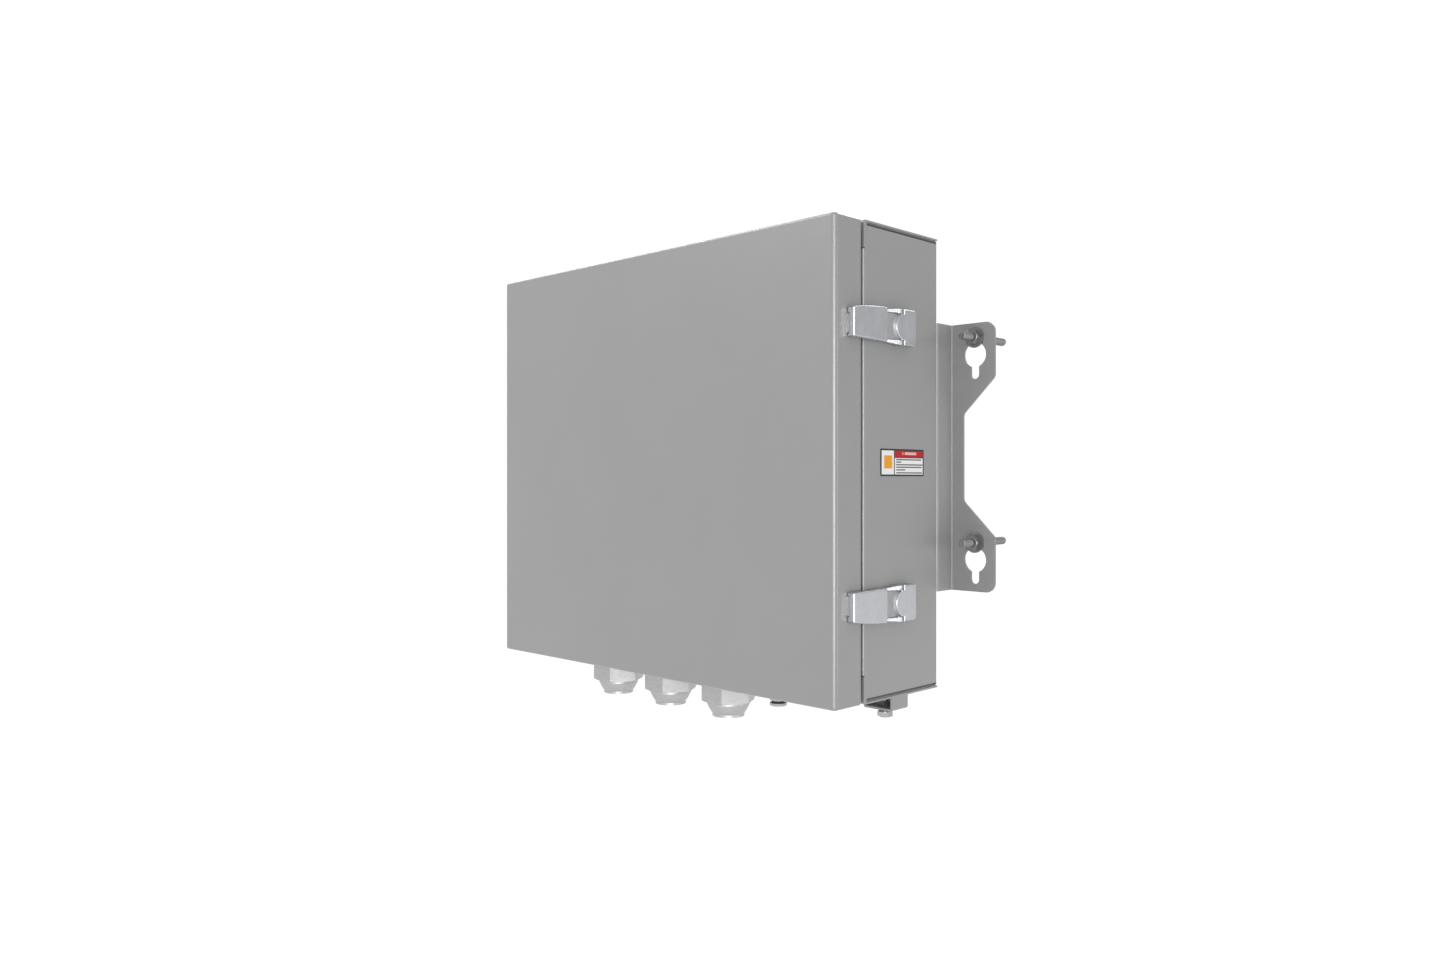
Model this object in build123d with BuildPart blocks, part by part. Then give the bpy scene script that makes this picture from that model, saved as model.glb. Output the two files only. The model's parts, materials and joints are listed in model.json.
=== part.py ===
"""DC combiner box: a wall or pole mounted steel enclosure with its door, latches, glands and DC switchgear.

Frame: +X to the latch side, +Y into the wall, +Z up. The origin is the centre of the four mounting studs,
in the plane of the brackets' rear faces.
"""

import os
from math import cos, pi, sin, sqrt

from build123d import *

# ---------------------------------------------------------------- driving sizes, millimetres

# enclosure
box_width = 600.0
box_height = 520.0
body_depth = 140.0
door_depth = 45.0
seam_gap = 4.0
sheet = 2.0
bend = 3.0
flange_width = 30.0
door_corner = 6.0
door_edge = 3.0
door_back_edge = 1.8
door_lip = 24.0
groove_depth = 1.5
groove_height = 1.8
groove_start = 5.0
gasket_width = 12.0
gasket_inset = 8.0
gasket_squeeze = 0.3

# brackets, keyholes and studs
bracket_sheet = 2.5
bracket_height = 312.0
bracket_centre_height = 267.0
bracket_foot = 34.0
bracket_bend = 3.0
bracket_crease = 1.3
ear_standoff = 30.0
ear_reach = 57.5
ear_length = 64.0
ear_corner = 12.0
ear_knee = 8.0
waist_reach = 16.0
keyhole_x = 31.6
keyhole_spacing = 238.0
keyhole_radius = 14.4
slot_clearance = 0.5
slot_drop = 22.75
stud_rise = 20.0
stud_radius = 5.0
stud_neck_step = 0.25
stud_front = 31.0
stud_back = 60.0
stud_washer_radius = 12.0
stud_washer = 2.0
stud_nut_across = 16.0
stud_nut = 8.0
nut_chamfer = 1.5
bracket_bolt_radius = 4.0
bracket_bolt_across = 13.0
bracket_bolt_head = 5.3
bracket_nut = 6.5

# hinges
hinge_spacing = 340.0
hinge_length = 60.0
hinge_axis_out = 6.0
hinge_barrel = 5.5
hinge_pin = 3.0
hinge_leaf = 25.0
hinge_leaf_sheet = 2.0
hinge_end_gap = 0.4
hinge_pin_head = 1.5

# latches: along the side, reaches are measured from the body's front edge
latch_spacing = 304.0
latch_drop = 3.0
nose_reach = 28.5
cover_end = 31.0
pivot_back = 55.0
block_start = 59.8
block_end = 82.0
neck_start = 34.0
latch_half = 20.0
cover_low = 1.0
cover_high = 9.3
cover_skin = 2.2
cover_edge = 1.6
cover_corner = 1.6
nose_outer = 14.0
nose_inner = 17.5
cover_outer = 19.2
cover_inner = 18.4
cover_bulge = 1.2
arm_inside = 15.1
arm_tail = 17.6
arm_low = 1.4
arm_start = 4.6
arm_round = 4.3
pad_half = 14.6
block_high = 10.8
neck_high = 4.8
pivot_high = 6.0
pivot_pin = 2.0
keeper_high = 3.0
keeper_half = 11.0
keeper_shift = 3.0
keeper_length = 22.0
keeper_pocket = 6.0
hook_half = 9.0
hook_sheet = 3.0
hook_low = 3.5
hook_pin_reach = 11.0
hook_pin = 1.2
hook_nose_gap = 3.0
lug_thickness = 2.4
latch_screw = 2.5
latch_screw_head = 4.5
latch_screw_head_height = 2.8

# side label
label_length = 82.0
label_height = 30.0
label_sheet = 0.4
label_from_front = 29.5

# cable glands
gland_spacing = 110.0
gland_middle_x = -81.0
gland_hex_radius = 35.8
gland_thread_radius = 25.0
gland_bore = 19.0
gland_gasket = 2.0
gland_flange = 12.0
gland_cap_gap = 1.5
gland_cap_hex = 28.0
gland_dome_radius = 28.0
gland_mouth_radius = 20.8
gland_total = 62.6
gland_mouth_bore = 17.5
gland_seal_bore = 16.0
gland_seal_length = 11.0
gland_lock_nut = 8.0
gland_thread_inside = 14.0
gland_chamfer = 3.0

# breather
vent_x = 150.0
vent_from_front = 31.0
vent_radius = 10.2
vent_length = 26.8
vent_thread = 8.0
vent_cap = 3.4
vent_slot = 3.2
vent_nut_across = 22.0
vent_nut = 5.0
vent_inside = 9.0

# earthing bracket
earth_length = 39.0
earth_width = 30.0
earth_drop = 15.3
earth_sheet = 2.3
earth_from_front = 51.0
earth_bolt_in = 20.4
earth_bolt_radius = 4.0
earth_bolt_across = 15.0
earth_head = 6.4
earth_washer_radius = 8.5
earth_washer = 1.6
earth_lock_washer_radius = 7.0
earth_lock_washer = 2.2
earth_nut = 6.5

# mounting plate
plate_margin_x = 30.0
plate_margin_z = 32.0
plate_standoff = 15.0
plate_sheet = 2.0
plate_bolt = 4.0
plate_bolt_inset = 20.0
plate_nut = 6.5
plate_nut_across = 13.0

# rail and fuse holders
rail_width = 35.0
rail_channel = 27.0
rail_depth = 7.5
rail_sheet = 1.0
rail_length = 440.0
rail_below_top = 65.0
holder_count = 4
holder_gap = 2.0
holder_width = 36.0
holder_first_x = -190.0
holder_height = 90.0
holder_depth = 41.0
holder_block_depth = 17.5
holder_block_top = 24.0
holder_pivot_below = 26.0
holder_pivot_in = 6.5
holder_floor = 5.0
holder_wall = 1.6
carrier_radius = 45.0
carrier_side_gap = 0.4
carrier_front_gap = 0.5
carrier_front = 4.5
carrier_top = 49.0
carrier_foot = 5.5
carrier_bore = 1.6
carrier_pin = 1.5
carrier_grip = 6.0
fuse_radius = 5.1
fuse_length = 38.0
fuse_pitch = 18.0
fuse_in = 12.0
fuse_bottom = 1.5
fuse_slot_gap = 0.4

# surge arrester
surge_x = 15.0
surge_pole_width = 18.0
surge_poles = 3
surge_height = 90.0
surge_depth = 58.0
surge_slot_height = 46.0
surge_slot_depth = 34.0
surge_module_proud = 6.0
surge_clearance = 0.3

# isolator
isolator_x = 165.0
isolator_below_top = 150.0
isolator_width = 110.0
isolator_height = 130.0
isolator_depth = 75.0
isolator_step = 18.0
isolator_step_height = 26.0
handle_radius = 24.0
handle_disc = 6.0
handle_grip = 16.0
handle_grip_width = 11.0
handle_spindle = 4.0
handle_spindle_length = 8.0
handle_gap = 0.4

# busbars and earth bar
busbar_length = 230.0
busbar_width = 20.0
busbar_sheet = 5.0
busbar_centre_x = -115.0
busbar_below_rail = 100.0
busbar_spacing = 50.0
insulator_radius = 14.0
insulator_height = 30.0
busbar_hole = 4.2
busbar_hole_pitch = 38.0
earth_bar_length = 170.0
earth_bar_width = 12.0
earth_bar_sheet = 6.0
earth_bar_up = 30.0
earth_bar_foot = 10.0
earth_bar_holes = 9
earth_bar_hole = 2.5
earth_bar_pitch = 17.0

# fits
pin_gap = 0.05
screw_gap = 0.25
seat_gap = 0.3

# ---------------------------------------------------------------- places worked out from the sizes

side_x = box_width / 2
back_y = -(bracket_sheet + ear_standoff)
body_front_y = back_y - body_depth
door_back_y = body_front_y - seam_gap
door_front_y = door_back_y - door_depth
bottom_z = -(bracket_centre_height + stud_rise)
top_z = bottom_z + box_height
centre_z = bottom_z + box_height / 2
middle_y = (body_front_y + back_y) / 2
inner_back_y = back_y - sheet
flange_cut = flange_width + 1.0

hinge_x = -(side_x + hinge_axis_out)
hinge_y = body_front_y - seam_gap / 2
hinge_rows = (centre_z - hinge_spacing / 2, centre_z + hinge_spacing / 2)

latch_mid_z = centre_z - latch_drop
latch_rows = {"upper": latch_mid_z + latch_spacing / 2, "lower": latch_mid_z - latch_spacing / 2}

gland_spots = [(gland_middle_x + step * gland_spacing, middle_y, bottom_z) for step in (-1, 0, 1)]
vent_spot = (vent_x, body_front_y + vent_from_front, bottom_z)

earth_bolt_x = side_x - earth_bolt_in
earth_bolt_y = body_front_y + earth_from_front + earth_width / 2

plate_front_y = inner_back_y - plate_standoff - plate_sheet
plate_top_z = top_z - plate_margin_z
plate_bottom_z = bottom_z + plate_margin_z
plate_half = side_x - plate_margin_x
plate_bolt_spots = [
    (x_side * (plate_half - plate_bolt_inset), z)
    for x_side in (-1, 1)
    for z in (plate_bottom_z + plate_bolt_inset, plate_top_z - plate_bolt_inset)
]

rail_z = plate_top_z - rail_below_top
rail_front_y = plate_front_y - rail_depth
holder_face_y = rail_front_y - holder_depth - holder_block_depth
holder_pivot_y = holder_face_y + holder_pivot_in
holder_pivot_z = rail_z - holder_pivot_below
holder_centres = [holder_first_x + n * (holder_width + holder_gap) for n in range(holder_count)]

busbar_rows = {
    "positive": rail_z - busbar_below_rail,
    "negative": rail_z - busbar_below_rail - busbar_spacing,
}
busbar_back_y = plate_front_y - insulator_height
isolator_z = plate_top_z - isolator_below_top
isolator_face_y = plate_front_y - isolator_depth
earth_bar_z = plate_bottom_z + earth_bar_up

ear_row_z = bottom_z + bracket_centre_height
ear_hole_x = side_x + keyhole_x
keyhole_rows = (ear_row_z - keyhole_spacing / 2, ear_row_z + keyhole_spacing / 2)
slot_width = 2 * stud_radius + slot_clearance
stud_neck_radius = stud_radius - stud_neck_step
stud_spots = [(x_side * ear_hole_x, z + stud_rise) for x_side in (-1, 1) for z in keyhole_rows]
bracket_bolt_x = side_x - bracket_foot / 2
bracket_bolt_rows = (ear_row_z - bracket_height / 2 + 30, ear_row_z, ear_row_z + bracket_height / 2 - 30)
bracket_bolt_spots = [(x_side * bracket_bolt_x, z) for x_side in (-1, 1) for z in bracket_bolt_rows]


def front_plane(y):
    """Plane facing the front at this y: sketch X is +X, sketch Y is +Z, its normal is -Y."""
    return Plane.XZ.offset(-y)


def side_plane(z, out=0.0):
    """Plane on the right side at the body's front edge: sketch X runs back along +Y, normal is +X."""
    return Plane(origin=(side_x + out, body_front_y, z), x_dir=(0, 1, 0), z_dir=(1, 0, 0))


def write(piece, name):
    piece.label = name
    export_step(piece, f"parts/{name}.step")


def hex_corner(across):
    """Radius to the corners of a hexagon of this width across its flats."""
    return across / sqrt(3)


def chamfered_hex(z_low, height, radius, cut):
    """Hexagonal prism with both ends turned to a cone, as a nut is."""
    with BuildPart() as prism:
        with BuildSketch(Plane.XY.offset(z_low)):
            RegularPolygon(radius, 6)
        extrude(amount=height)
        with BuildSketch(Plane.XZ):
            with BuildLine():
                Polyline(
                    (0, z_low),
                    (radius - cut, z_low),
                    (radius, z_low + cut / 2),
                    (radius, z_low + height - cut / 2),
                    (radius - cut, z_low + height),
                    (0, z_low + height),
                    close=True,
                )
            make_face()
        revolve(axis=Axis.Z, mode=Mode.INTERSECT)
    return prism.part


os.makedirs("parts", exist_ok=True)

# ---------------------------------------------------------------- body

with BuildPart() as body_shell:
    with BuildSketch(Plane.XY.offset(bottom_z + sheet)):
        with BuildLine():
            tip = side_x - flange_width
            FilletPolyline(
                (-tip, body_front_y),
                (-side_x, body_front_y),
                (-side_x, back_y),
                (side_x, back_y),
                (side_x, body_front_y),
                (tip, body_front_y),
                (tip, body_front_y + sheet),
                (side_x - sheet, body_front_y + sheet),
                (side_x - sheet, back_y - sheet),
                (sheet - side_x, back_y - sheet),
                (sheet - side_x, body_front_y + sheet),
                (-tip, body_front_y + sheet),
                radius=[0, bend, bend, bend, bend, 0, 0] + [bend - sheet] * 4 + [0],
                close=True,
            )
        make_face()
    extrude(amount=box_height - 2 * sheet)
    # the top and bottom plates' front flanges take the corners
    with BuildSketch(front_plane(body_front_y)):
        for z_end in (bottom_z + flange_cut / 2, top_z - flange_cut / 2):
            with Locations((0, z_end)):
                Rectangle(box_width, flange_cut)
    extrude(amount=-sheet, mode=Mode.SUBTRACT)
    # groove along the plates, for the sealing weld
    for z_groove in (bottom_z + sheet, top_z - sheet - groove_height):
        with BuildSketch(Plane.XY.offset(z_groove)):
            with Locations((0, (body_front_y + groove_start + back_y) / 2)):
                Rectangle(box_width, body_depth - groove_start)
            with Locations((0, (body_front_y + groove_start + back_y - groove_depth) / 2)):
                Rectangle(
                    box_width - 2 * groove_depth,
                    body_depth - groove_start - groove_depth,
                    mode=Mode.SUBTRACT,
                )
        extrude(amount=groove_height, mode=Mode.SUBTRACT)
    # holes for the latch screws and the bracket bolts
    for latch_z in latch_rows.values():
        with BuildSketch(side_plane(latch_z)):
            with Locations(*[((block_start + block_end) / 2, w) for w in (-latch_half / 2, latch_half / 2)]):
                Circle(latch_screw + screw_gap)
        extrude(amount=-2 * sheet, mode=Mode.SUBTRACT)
    with BuildSketch(front_plane(back_y)):
        with Locations(*bracket_bolt_spots):
            Circle(bracket_bolt_radius + screw_gap)
        with Locations(*plate_bolt_spots):
            Circle(plate_bolt + pin_gap)
    extrude(amount=2 * sheet, mode=Mode.SUBTRACT)


def end_plate(z_outer, inward):
    """Top or bottom plate with its front flange; inward is +1 at the bottom and -1 at the top."""
    with BuildPart() as plate:
        with BuildSketch(Plane.YZ.offset(-side_x)):
            with BuildLine():
                FilletPolyline(
                    (body_front_y, z_outer + inward * flange_width),
                    (body_front_y, z_outer),
                    (back_y, z_outer),
                    (back_y, z_outer + inward * sheet),
                    (body_front_y + sheet, z_outer + inward * sheet),
                    (body_front_y + sheet, z_outer + inward * flange_width),
                    radius=[0, bend, 0, 0, 0, 0],
                    close=True,
                )
            make_face()
        extrude(amount=box_width)
    return plate.part


write(body_shell.part, "body_shell")
write(end_plate(top_z, -1), "top_plate")

with BuildPart() as bottom_plate:
    add(end_plate(bottom_z, 1))
    with BuildSketch(Plane.XY.offset(bottom_z)):
        with Locations(*[(x, y) for x, y, z in gland_spots]):
            Circle(gland_thread_radius + screw_gap)
        with Locations(vent_spot[:2]):
            Circle(vent_thread + screw_gap)
    extrude(amount=sheet, mode=Mode.SUBTRACT)
write(bottom_plate.part, "bottom_plate")

# ---------------------------------------------------------------- door

with BuildPart() as door_panel:
    with BuildSketch(Plane.XY.offset(bottom_z)):
        with BuildLine():
            FilletPolyline(
                (-side_x, door_back_y),
                (-side_x, door_front_y),
                (side_x, door_front_y),
                (side_x, door_back_y),
                radius=[0, door_corner, door_corner, 0],
                close=True,
            )
        make_face()
    extrude(amount=box_height)
    fillet(door_panel.faces().sort_by(Axis.Z)[-1].edges().sort_by(Axis.Y)[:-1], door_edge)
    fillet(door_panel.faces().sort_by(Axis.Z)[0].edges().sort_by(Axis.Y)[:-1], door_edge)
    fillet(door_panel.faces().sort_by(Axis.Y)[-1].edges(), door_back_edge)
    with BuildSketch(Plane.XY.offset(bottom_z + sheet)):
        with BuildLine():
            FilletPolyline(
                (sheet - side_x, door_back_y - sheet),
                (sheet - side_x, door_front_y + sheet),
                (side_x - sheet, door_front_y + sheet),
                (side_x - sheet, door_back_y - sheet),
                radius=[0, door_corner - sheet, door_corner - sheet, 0],
                close=True,
            )
        make_face()
    extrude(amount=box_height - 2 * sheet, mode=Mode.SUBTRACT)
    with BuildSketch(front_plane(door_back_y)):
        with Locations((0, centre_z)):
            Rectangle(box_width - 2 * door_lip, box_height - 2 * door_lip)
    extrude(amount=2 * sheet, mode=Mode.SUBTRACT)
write(door_panel.part, "door_panel")

with BuildPart() as door_gasket:
    with BuildSketch(front_plane(door_back_y)):
        with Locations((0, centre_z)):
            RectangleRounded(box_width - 2 * gasket_inset, box_height - 2 * gasket_inset, gasket_width)
            Rectangle(
                box_width - 2 * (gasket_inset + gasket_width),
                box_height - 2 * (gasket_inset + gasket_width),
                mode=Mode.SUBTRACT,
            )
    extrude(amount=gasket_squeeze - seam_gap)
write(door_gasket.part, "door_gasket")

# ---------------------------------------------------------------- hinges


def hinge_knuckles(z_start, length, leaf_side):
    """One knuckle with its strip of leaf; leaf_side is +1 for the body's leaf and -1 for the door's."""
    with BuildPart() as knuckle:
        with BuildSketch(Plane.XY.offset(z_start)):
            with Locations((hinge_x, hinge_y)):
                Circle(hinge_barrel)
            with Locations((-side_x - hinge_leaf_sheet / 2, hinge_y + leaf_side * hinge_leaf / 2)):
                Rectangle(hinge_leaf_sheet, hinge_leaf)
            with Locations((hinge_x, hinge_y)):
                Circle(hinge_pin + pin_gap, mode=Mode.SUBTRACT)
        extrude(amount=length)
    return knuckle.part


def hinge_strip(z_mid, leaf_side):
    """Leaf plate along the whole hinge, clear of the other leaf's knuckles."""
    root = hinge_barrel + 2 * hinge_end_gap
    with BuildPart() as strip:
        with BuildSketch(Plane.XY.offset(z_mid - hinge_length / 2)):
            with Locations((-side_x - hinge_leaf_sheet / 2, hinge_y + leaf_side * (root + hinge_leaf) / 2)):
                Rectangle(hinge_leaf_sheet, hinge_leaf - root)
        extrude(amount=hinge_length)
    return strip.part


knuckle_length = hinge_length / 3
with BuildPart() as hinge_body_leaves:
    for hinge_z in hinge_rows:
        add(hinge_strip(hinge_z, 1))
        add(hinge_knuckles(hinge_z - knuckle_length / 2, knuckle_length, 1))
write(hinge_body_leaves.part, "hinge_body_leaves")

with BuildPart() as hinge_door_leaves:
    for hinge_z in hinge_rows:
        add(hinge_strip(hinge_z, -1))
        for z_start in (hinge_z - hinge_length / 2, hinge_z + knuckle_length / 2 + hinge_end_gap):
            add(hinge_knuckles(z_start, knuckle_length - hinge_end_gap, -1))
write(hinge_door_leaves.part, "hinge_door_leaves")

with BuildPart() as hinge_pins:
    for hinge_z in hinge_rows:
        with BuildSketch(Plane.XY.offset(hinge_z - hinge_length / 2 - hinge_end_gap)):
            with Locations((hinge_x, hinge_y)):
                Circle(hinge_pin)
        extrude(amount=hinge_length + 2 * hinge_end_gap)
        heads = (
            hinge_z - hinge_length / 2 - hinge_end_gap - hinge_pin_head,
            hinge_z + hinge_length / 2 + hinge_end_gap,
        )
        for z_head in heads:
            with BuildSketch(Plane.XY.offset(z_head)):
                with Locations((hinge_x, hinge_y)):
                    Circle(hinge_barrel - hinge_end_gap)
            extrude(amount=hinge_pin_head)
write(hinge_pins.part, "hinge_pins")

# ---------------------------------------------------------------- latches


def cover_outline(inset, up):
    """Outline of the lever cover, drawn in by inset: one side straight, the other gently bulged."""
    nose = -nose_reach + inset
    end = cover_end - inset
    outer_nose = (nose, up * (nose_outer - inset))
    outer_end = (end, up * (cover_outer - inset))
    outer_middle = ((nose + end) / 2, up * ((nose_outer + cover_outer) / 2 + cover_bulge - inset))
    ThreePointArc(outer_nose, outer_middle, outer_end)
    Polyline(
        outer_end,
        (end, -up * (cover_inner - inset)),
        (nose, -up * (nose_inner - inset)),
        outer_nose,
    )


def latch_base(latch_z):
    with BuildPart() as base:
        with BuildSketch(side_plane(latch_z)):
            with Locations(((block_start + block_end) / 2, 0)):
                Rectangle(block_end - block_start, 2 * latch_half)
            with Locations(((pivot_back + block_start) / 2, 0)):
                Rectangle(block_start - pivot_back, 2 * pad_half)
            with Locations((block_start, 0)):
                Circle(pad_half)
        extrude(amount=block_high)
        fillet(base.edges().filter_by(Axis.X).sort_by(Axis.Y)[-2:], 3.0)
        fillet(base.faces().sort_by(Axis.X)[-1].edges(), 1.2)
        with BuildSketch(side_plane(latch_z)):
            with Locations(((neck_start + block_start) / 2, 0)):
                Rectangle(block_start - neck_start, 2 * pad_half)
        extrude(amount=neck_high)
        with BuildSketch(Plane.XY.offset(latch_z - latch_half)):
            with Locations((side_x + pivot_high, body_front_y + pivot_back)):
                Circle(pivot_pin)
        extrude(amount=2 * latch_half, mode=Mode.SUBTRACT)
        with BuildSketch(side_plane(latch_z)):
            with Locations(*[((block_start + block_end) / 2, w) for w in (-latch_half / 2, latch_half / 2)]):
                Circle(latch_screw + pin_gap)
        extrude(amount=block_high / 2, mode=Mode.SUBTRACT)
    return base.part


def latch_arms(latch_z):
    """The lever's two arms: they ramp up and flare outward from the cover's end to the pivot."""
    pivot = (side_x + pivot_high, body_front_y + pivot_back)
    root = cover_end - 2 * cover_skin
    with BuildPart() as arms:
        with BuildSketch(Plane.XY.offset(latch_z - latch_half)):
            with BuildLine():
                Polyline(
                    (side_x + arm_low, body_front_y + root),
                    (side_x + arm_low, pivot[1]),
                    (pivot[0] + arm_round, pivot[1]),
                    (side_x + arm_start, body_front_y + cover_end),
                    (side_x + arm_start, body_front_y + root),
                    close=True,
                )
            make_face()
            with Locations(pivot):
                Circle(arm_round)
                Circle(pivot_pin + pin_gap, mode=Mode.SUBTRACT)
        extrude(amount=2 * latch_half)
        with BuildSketch(side_plane(latch_z)):
            for arm_side in (-1, 1):
                with BuildLine():
                    Polyline(
                        (root, arm_side * (arm_inside - 1.0)),
                        (root, arm_side * (arm_tail - 0.4)),
                        (cover_end, arm_side * arm_tail),
                        (pivot_back, arm_side * latch_half),
                        (block_start, arm_side * latch_half),
                        (block_start, arm_side * arm_inside),
                        (cover_end, arm_side * arm_inside),
                        close=True,
                    )
                make_face()
        extrude(amount=2 * block_high, mode=Mode.INTERSECT)
    return arms.part


def latch_lever(latch_z, up):
    """Lever cover with two arms that reach back to the pivot; up is +1, or -1 for its mirror image."""
    lug_middle = -up * keeper_shift
    with BuildPart() as lever:
        with BuildSketch(side_plane(latch_z, cover_low)):
            with BuildLine():
                cover_outline(0, up)
            make_face()
        extrude(amount=cover_high - cover_low)
        fillet(lever.edges().filter_by(Axis.X), cover_corner)
        fillet(lever.faces().sort_by(Axis.X)[-1].edges(), cover_edge)
        with BuildSketch(side_plane(latch_z, cover_low)):
            with BuildLine():
                cover_outline(cover_skin, up)
            make_face()
        extrude(amount=cover_high - cover_low - cover_skin, mode=Mode.SUBTRACT)
        # the nose stands over the keeper
        with BuildSketch(side_plane(latch_z, cover_low)):
            with Locations((-nose_reach + cover_skin, lug_middle)):
                Rectangle(4 * cover_skin, 2 * (keeper_half + screw_gap))
        extrude(amount=keeper_high + seat_gap - cover_low, mode=Mode.SUBTRACT)
        add(latch_arms(latch_z))
        # lugs that carry the hook's pin
        lug_x = side_x + hook_low + hook_sheet / 2
        for lug_side in (-1, 1):
            z_lug = latch_z + lug_middle + lug_side * (hook_half + seat_gap + lug_thickness / 2)
            with BuildSketch(Plane.XY.offset(z_lug - lug_thickness / 2)):
                with Locations((lug_x, body_front_y + hook_pin_reach)):
                    Circle(hook_sheet)
                with Locations((side_x + (cover_high + lug_x - side_x) / 2, body_front_y + hook_pin_reach)):
                    Rectangle(cover_high - cover_skin / 2 - (lug_x - side_x), 2 * hook_sheet)
                with Locations((lug_x, body_front_y + hook_pin_reach)):
                    Circle(hook_pin, mode=Mode.SUBTRACT)
            extrude(amount=lug_thickness)
    return lever.part


def latch_hook(latch_z, up):
    hook_tip = -nose_reach + cover_skin + hook_nose_gap
    pin_x = side_x + hook_low + hook_sheet / 2
    with BuildPart() as hook:
        with BuildSketch(Plane.XY.offset(latch_z - up * keeper_shift - hook_half)):
            with BuildLine():
                Polyline(
                    (pin_x - hook_sheet / 2, body_front_y + hook_pin_reach),
                    (pin_x - hook_sheet / 2, body_front_y + hook_tip),
                    (pin_x + hook_sheet / 2, body_front_y + hook_tip + hook_sheet / 2),
                    (pin_x + hook_sheet / 2, body_front_y + hook_pin_reach),
                    close=True,
                )
            make_face()
            with Locations((pin_x, body_front_y + hook_pin_reach)):
                Circle(hook_sheet / 2 + seat_gap)
                Circle(hook_pin + pin_gap, mode=Mode.SUBTRACT)
        extrude(amount=2 * hook_half)
        # window that lightens the hook and leaves its catching bar
        with BuildSketch(side_plane(latch_z, hook_low)):
            with Locations((hook_tip + 9.0, -up * keeper_shift)):
                RectangleRounded(8.0, 2 * hook_half - 6.0, 1.5)
        extrude(amount=hook_sheet, mode=Mode.SUBTRACT)
    return hook.part


def latch_hook_pin(latch_z, up):
    half = hook_half + seat_gap + lug_thickness
    with BuildPart() as pin:
        with BuildSketch(Plane.XY.offset(latch_z - up * keeper_shift - half)):
            with Locations((side_x + hook_low + hook_sheet / 2, body_front_y + hook_pin_reach)):
                Circle(hook_pin)
        extrude(amount=2 * half)
    return pin.part


for row, latch_z in latch_rows.items():
    up = 1 if row == "upper" else -1
    write(latch_base(latch_z), f"latch_{row}_base")
    write(latch_lever(latch_z, up), f"latch_{row}_lever")
    write(latch_hook(latch_z, up), f"latch_{row}_hook")
    write(latch_hook_pin(latch_z, up), f"latch_{row}_hook_pin")

with BuildPart() as latch_pivot_pins:
    for latch_z in latch_rows.values():
        with BuildSketch(Plane.XY.offset(latch_z - latch_half)):
            with Locations((side_x + pivot_high, body_front_y + pivot_back)):
                Circle(pivot_pin)
        extrude(amount=2 * latch_half)
write(latch_pivot_pins.part, "latch_pivot_pins")

with BuildPart() as latch_keepers:
    for row, latch_z in latch_rows.items():
        middle = -keeper_shift if row == "upper" else keeper_shift
        with BuildSketch(side_plane(latch_z)):
            with Locations((-nose_reach + keeper_length / 2, middle)):
                RectangleRounded(keeper_length, 2 * keeper_half, 1.5)
            with Locations((-nose_reach + cover_skin + hook_nose_gap + keeper_pocket / 2, middle)):
                Rectangle(keeper_pocket, 2 * (keeper_half - cover_skin), mode=Mode.SUBTRACT)
        extrude(amount=keeper_high)
write(latch_keepers.part, "latch_keepers")

with BuildPart() as latch_screws:
    for latch_z in latch_rows.values():
        with BuildSketch(side_plane(latch_z, -sheet)):
            with Locations(*[((block_start + block_end) / 2, w) for w in (-latch_half / 2, latch_half / 2)]):
                Circle(latch_screw)
        extrude(amount=sheet + block_high / 2)
        with BuildSketch(side_plane(latch_z, -sheet)):
            with Locations(*[((block_start + block_end) / 2, w) for w in (-latch_half / 2, latch_half / 2)]):
                Circle(latch_screw_head)
        extrude(amount=-latch_screw_head_height)
write(latch_screws.part, "latch_screws")

# ---------------------------------------------------------------- side label

with BuildPart() as side_label:
    with BuildSketch(side_plane(centre_z)):
        with Locations((label_from_front + label_length / 2, 0)):
            RectangleRounded(label_length, label_height, 1.0)
    extrude(amount=label_sheet)
write(side_label.part, "side_label")

# ---------------------------------------------------------------- mounting brackets and studs


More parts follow.
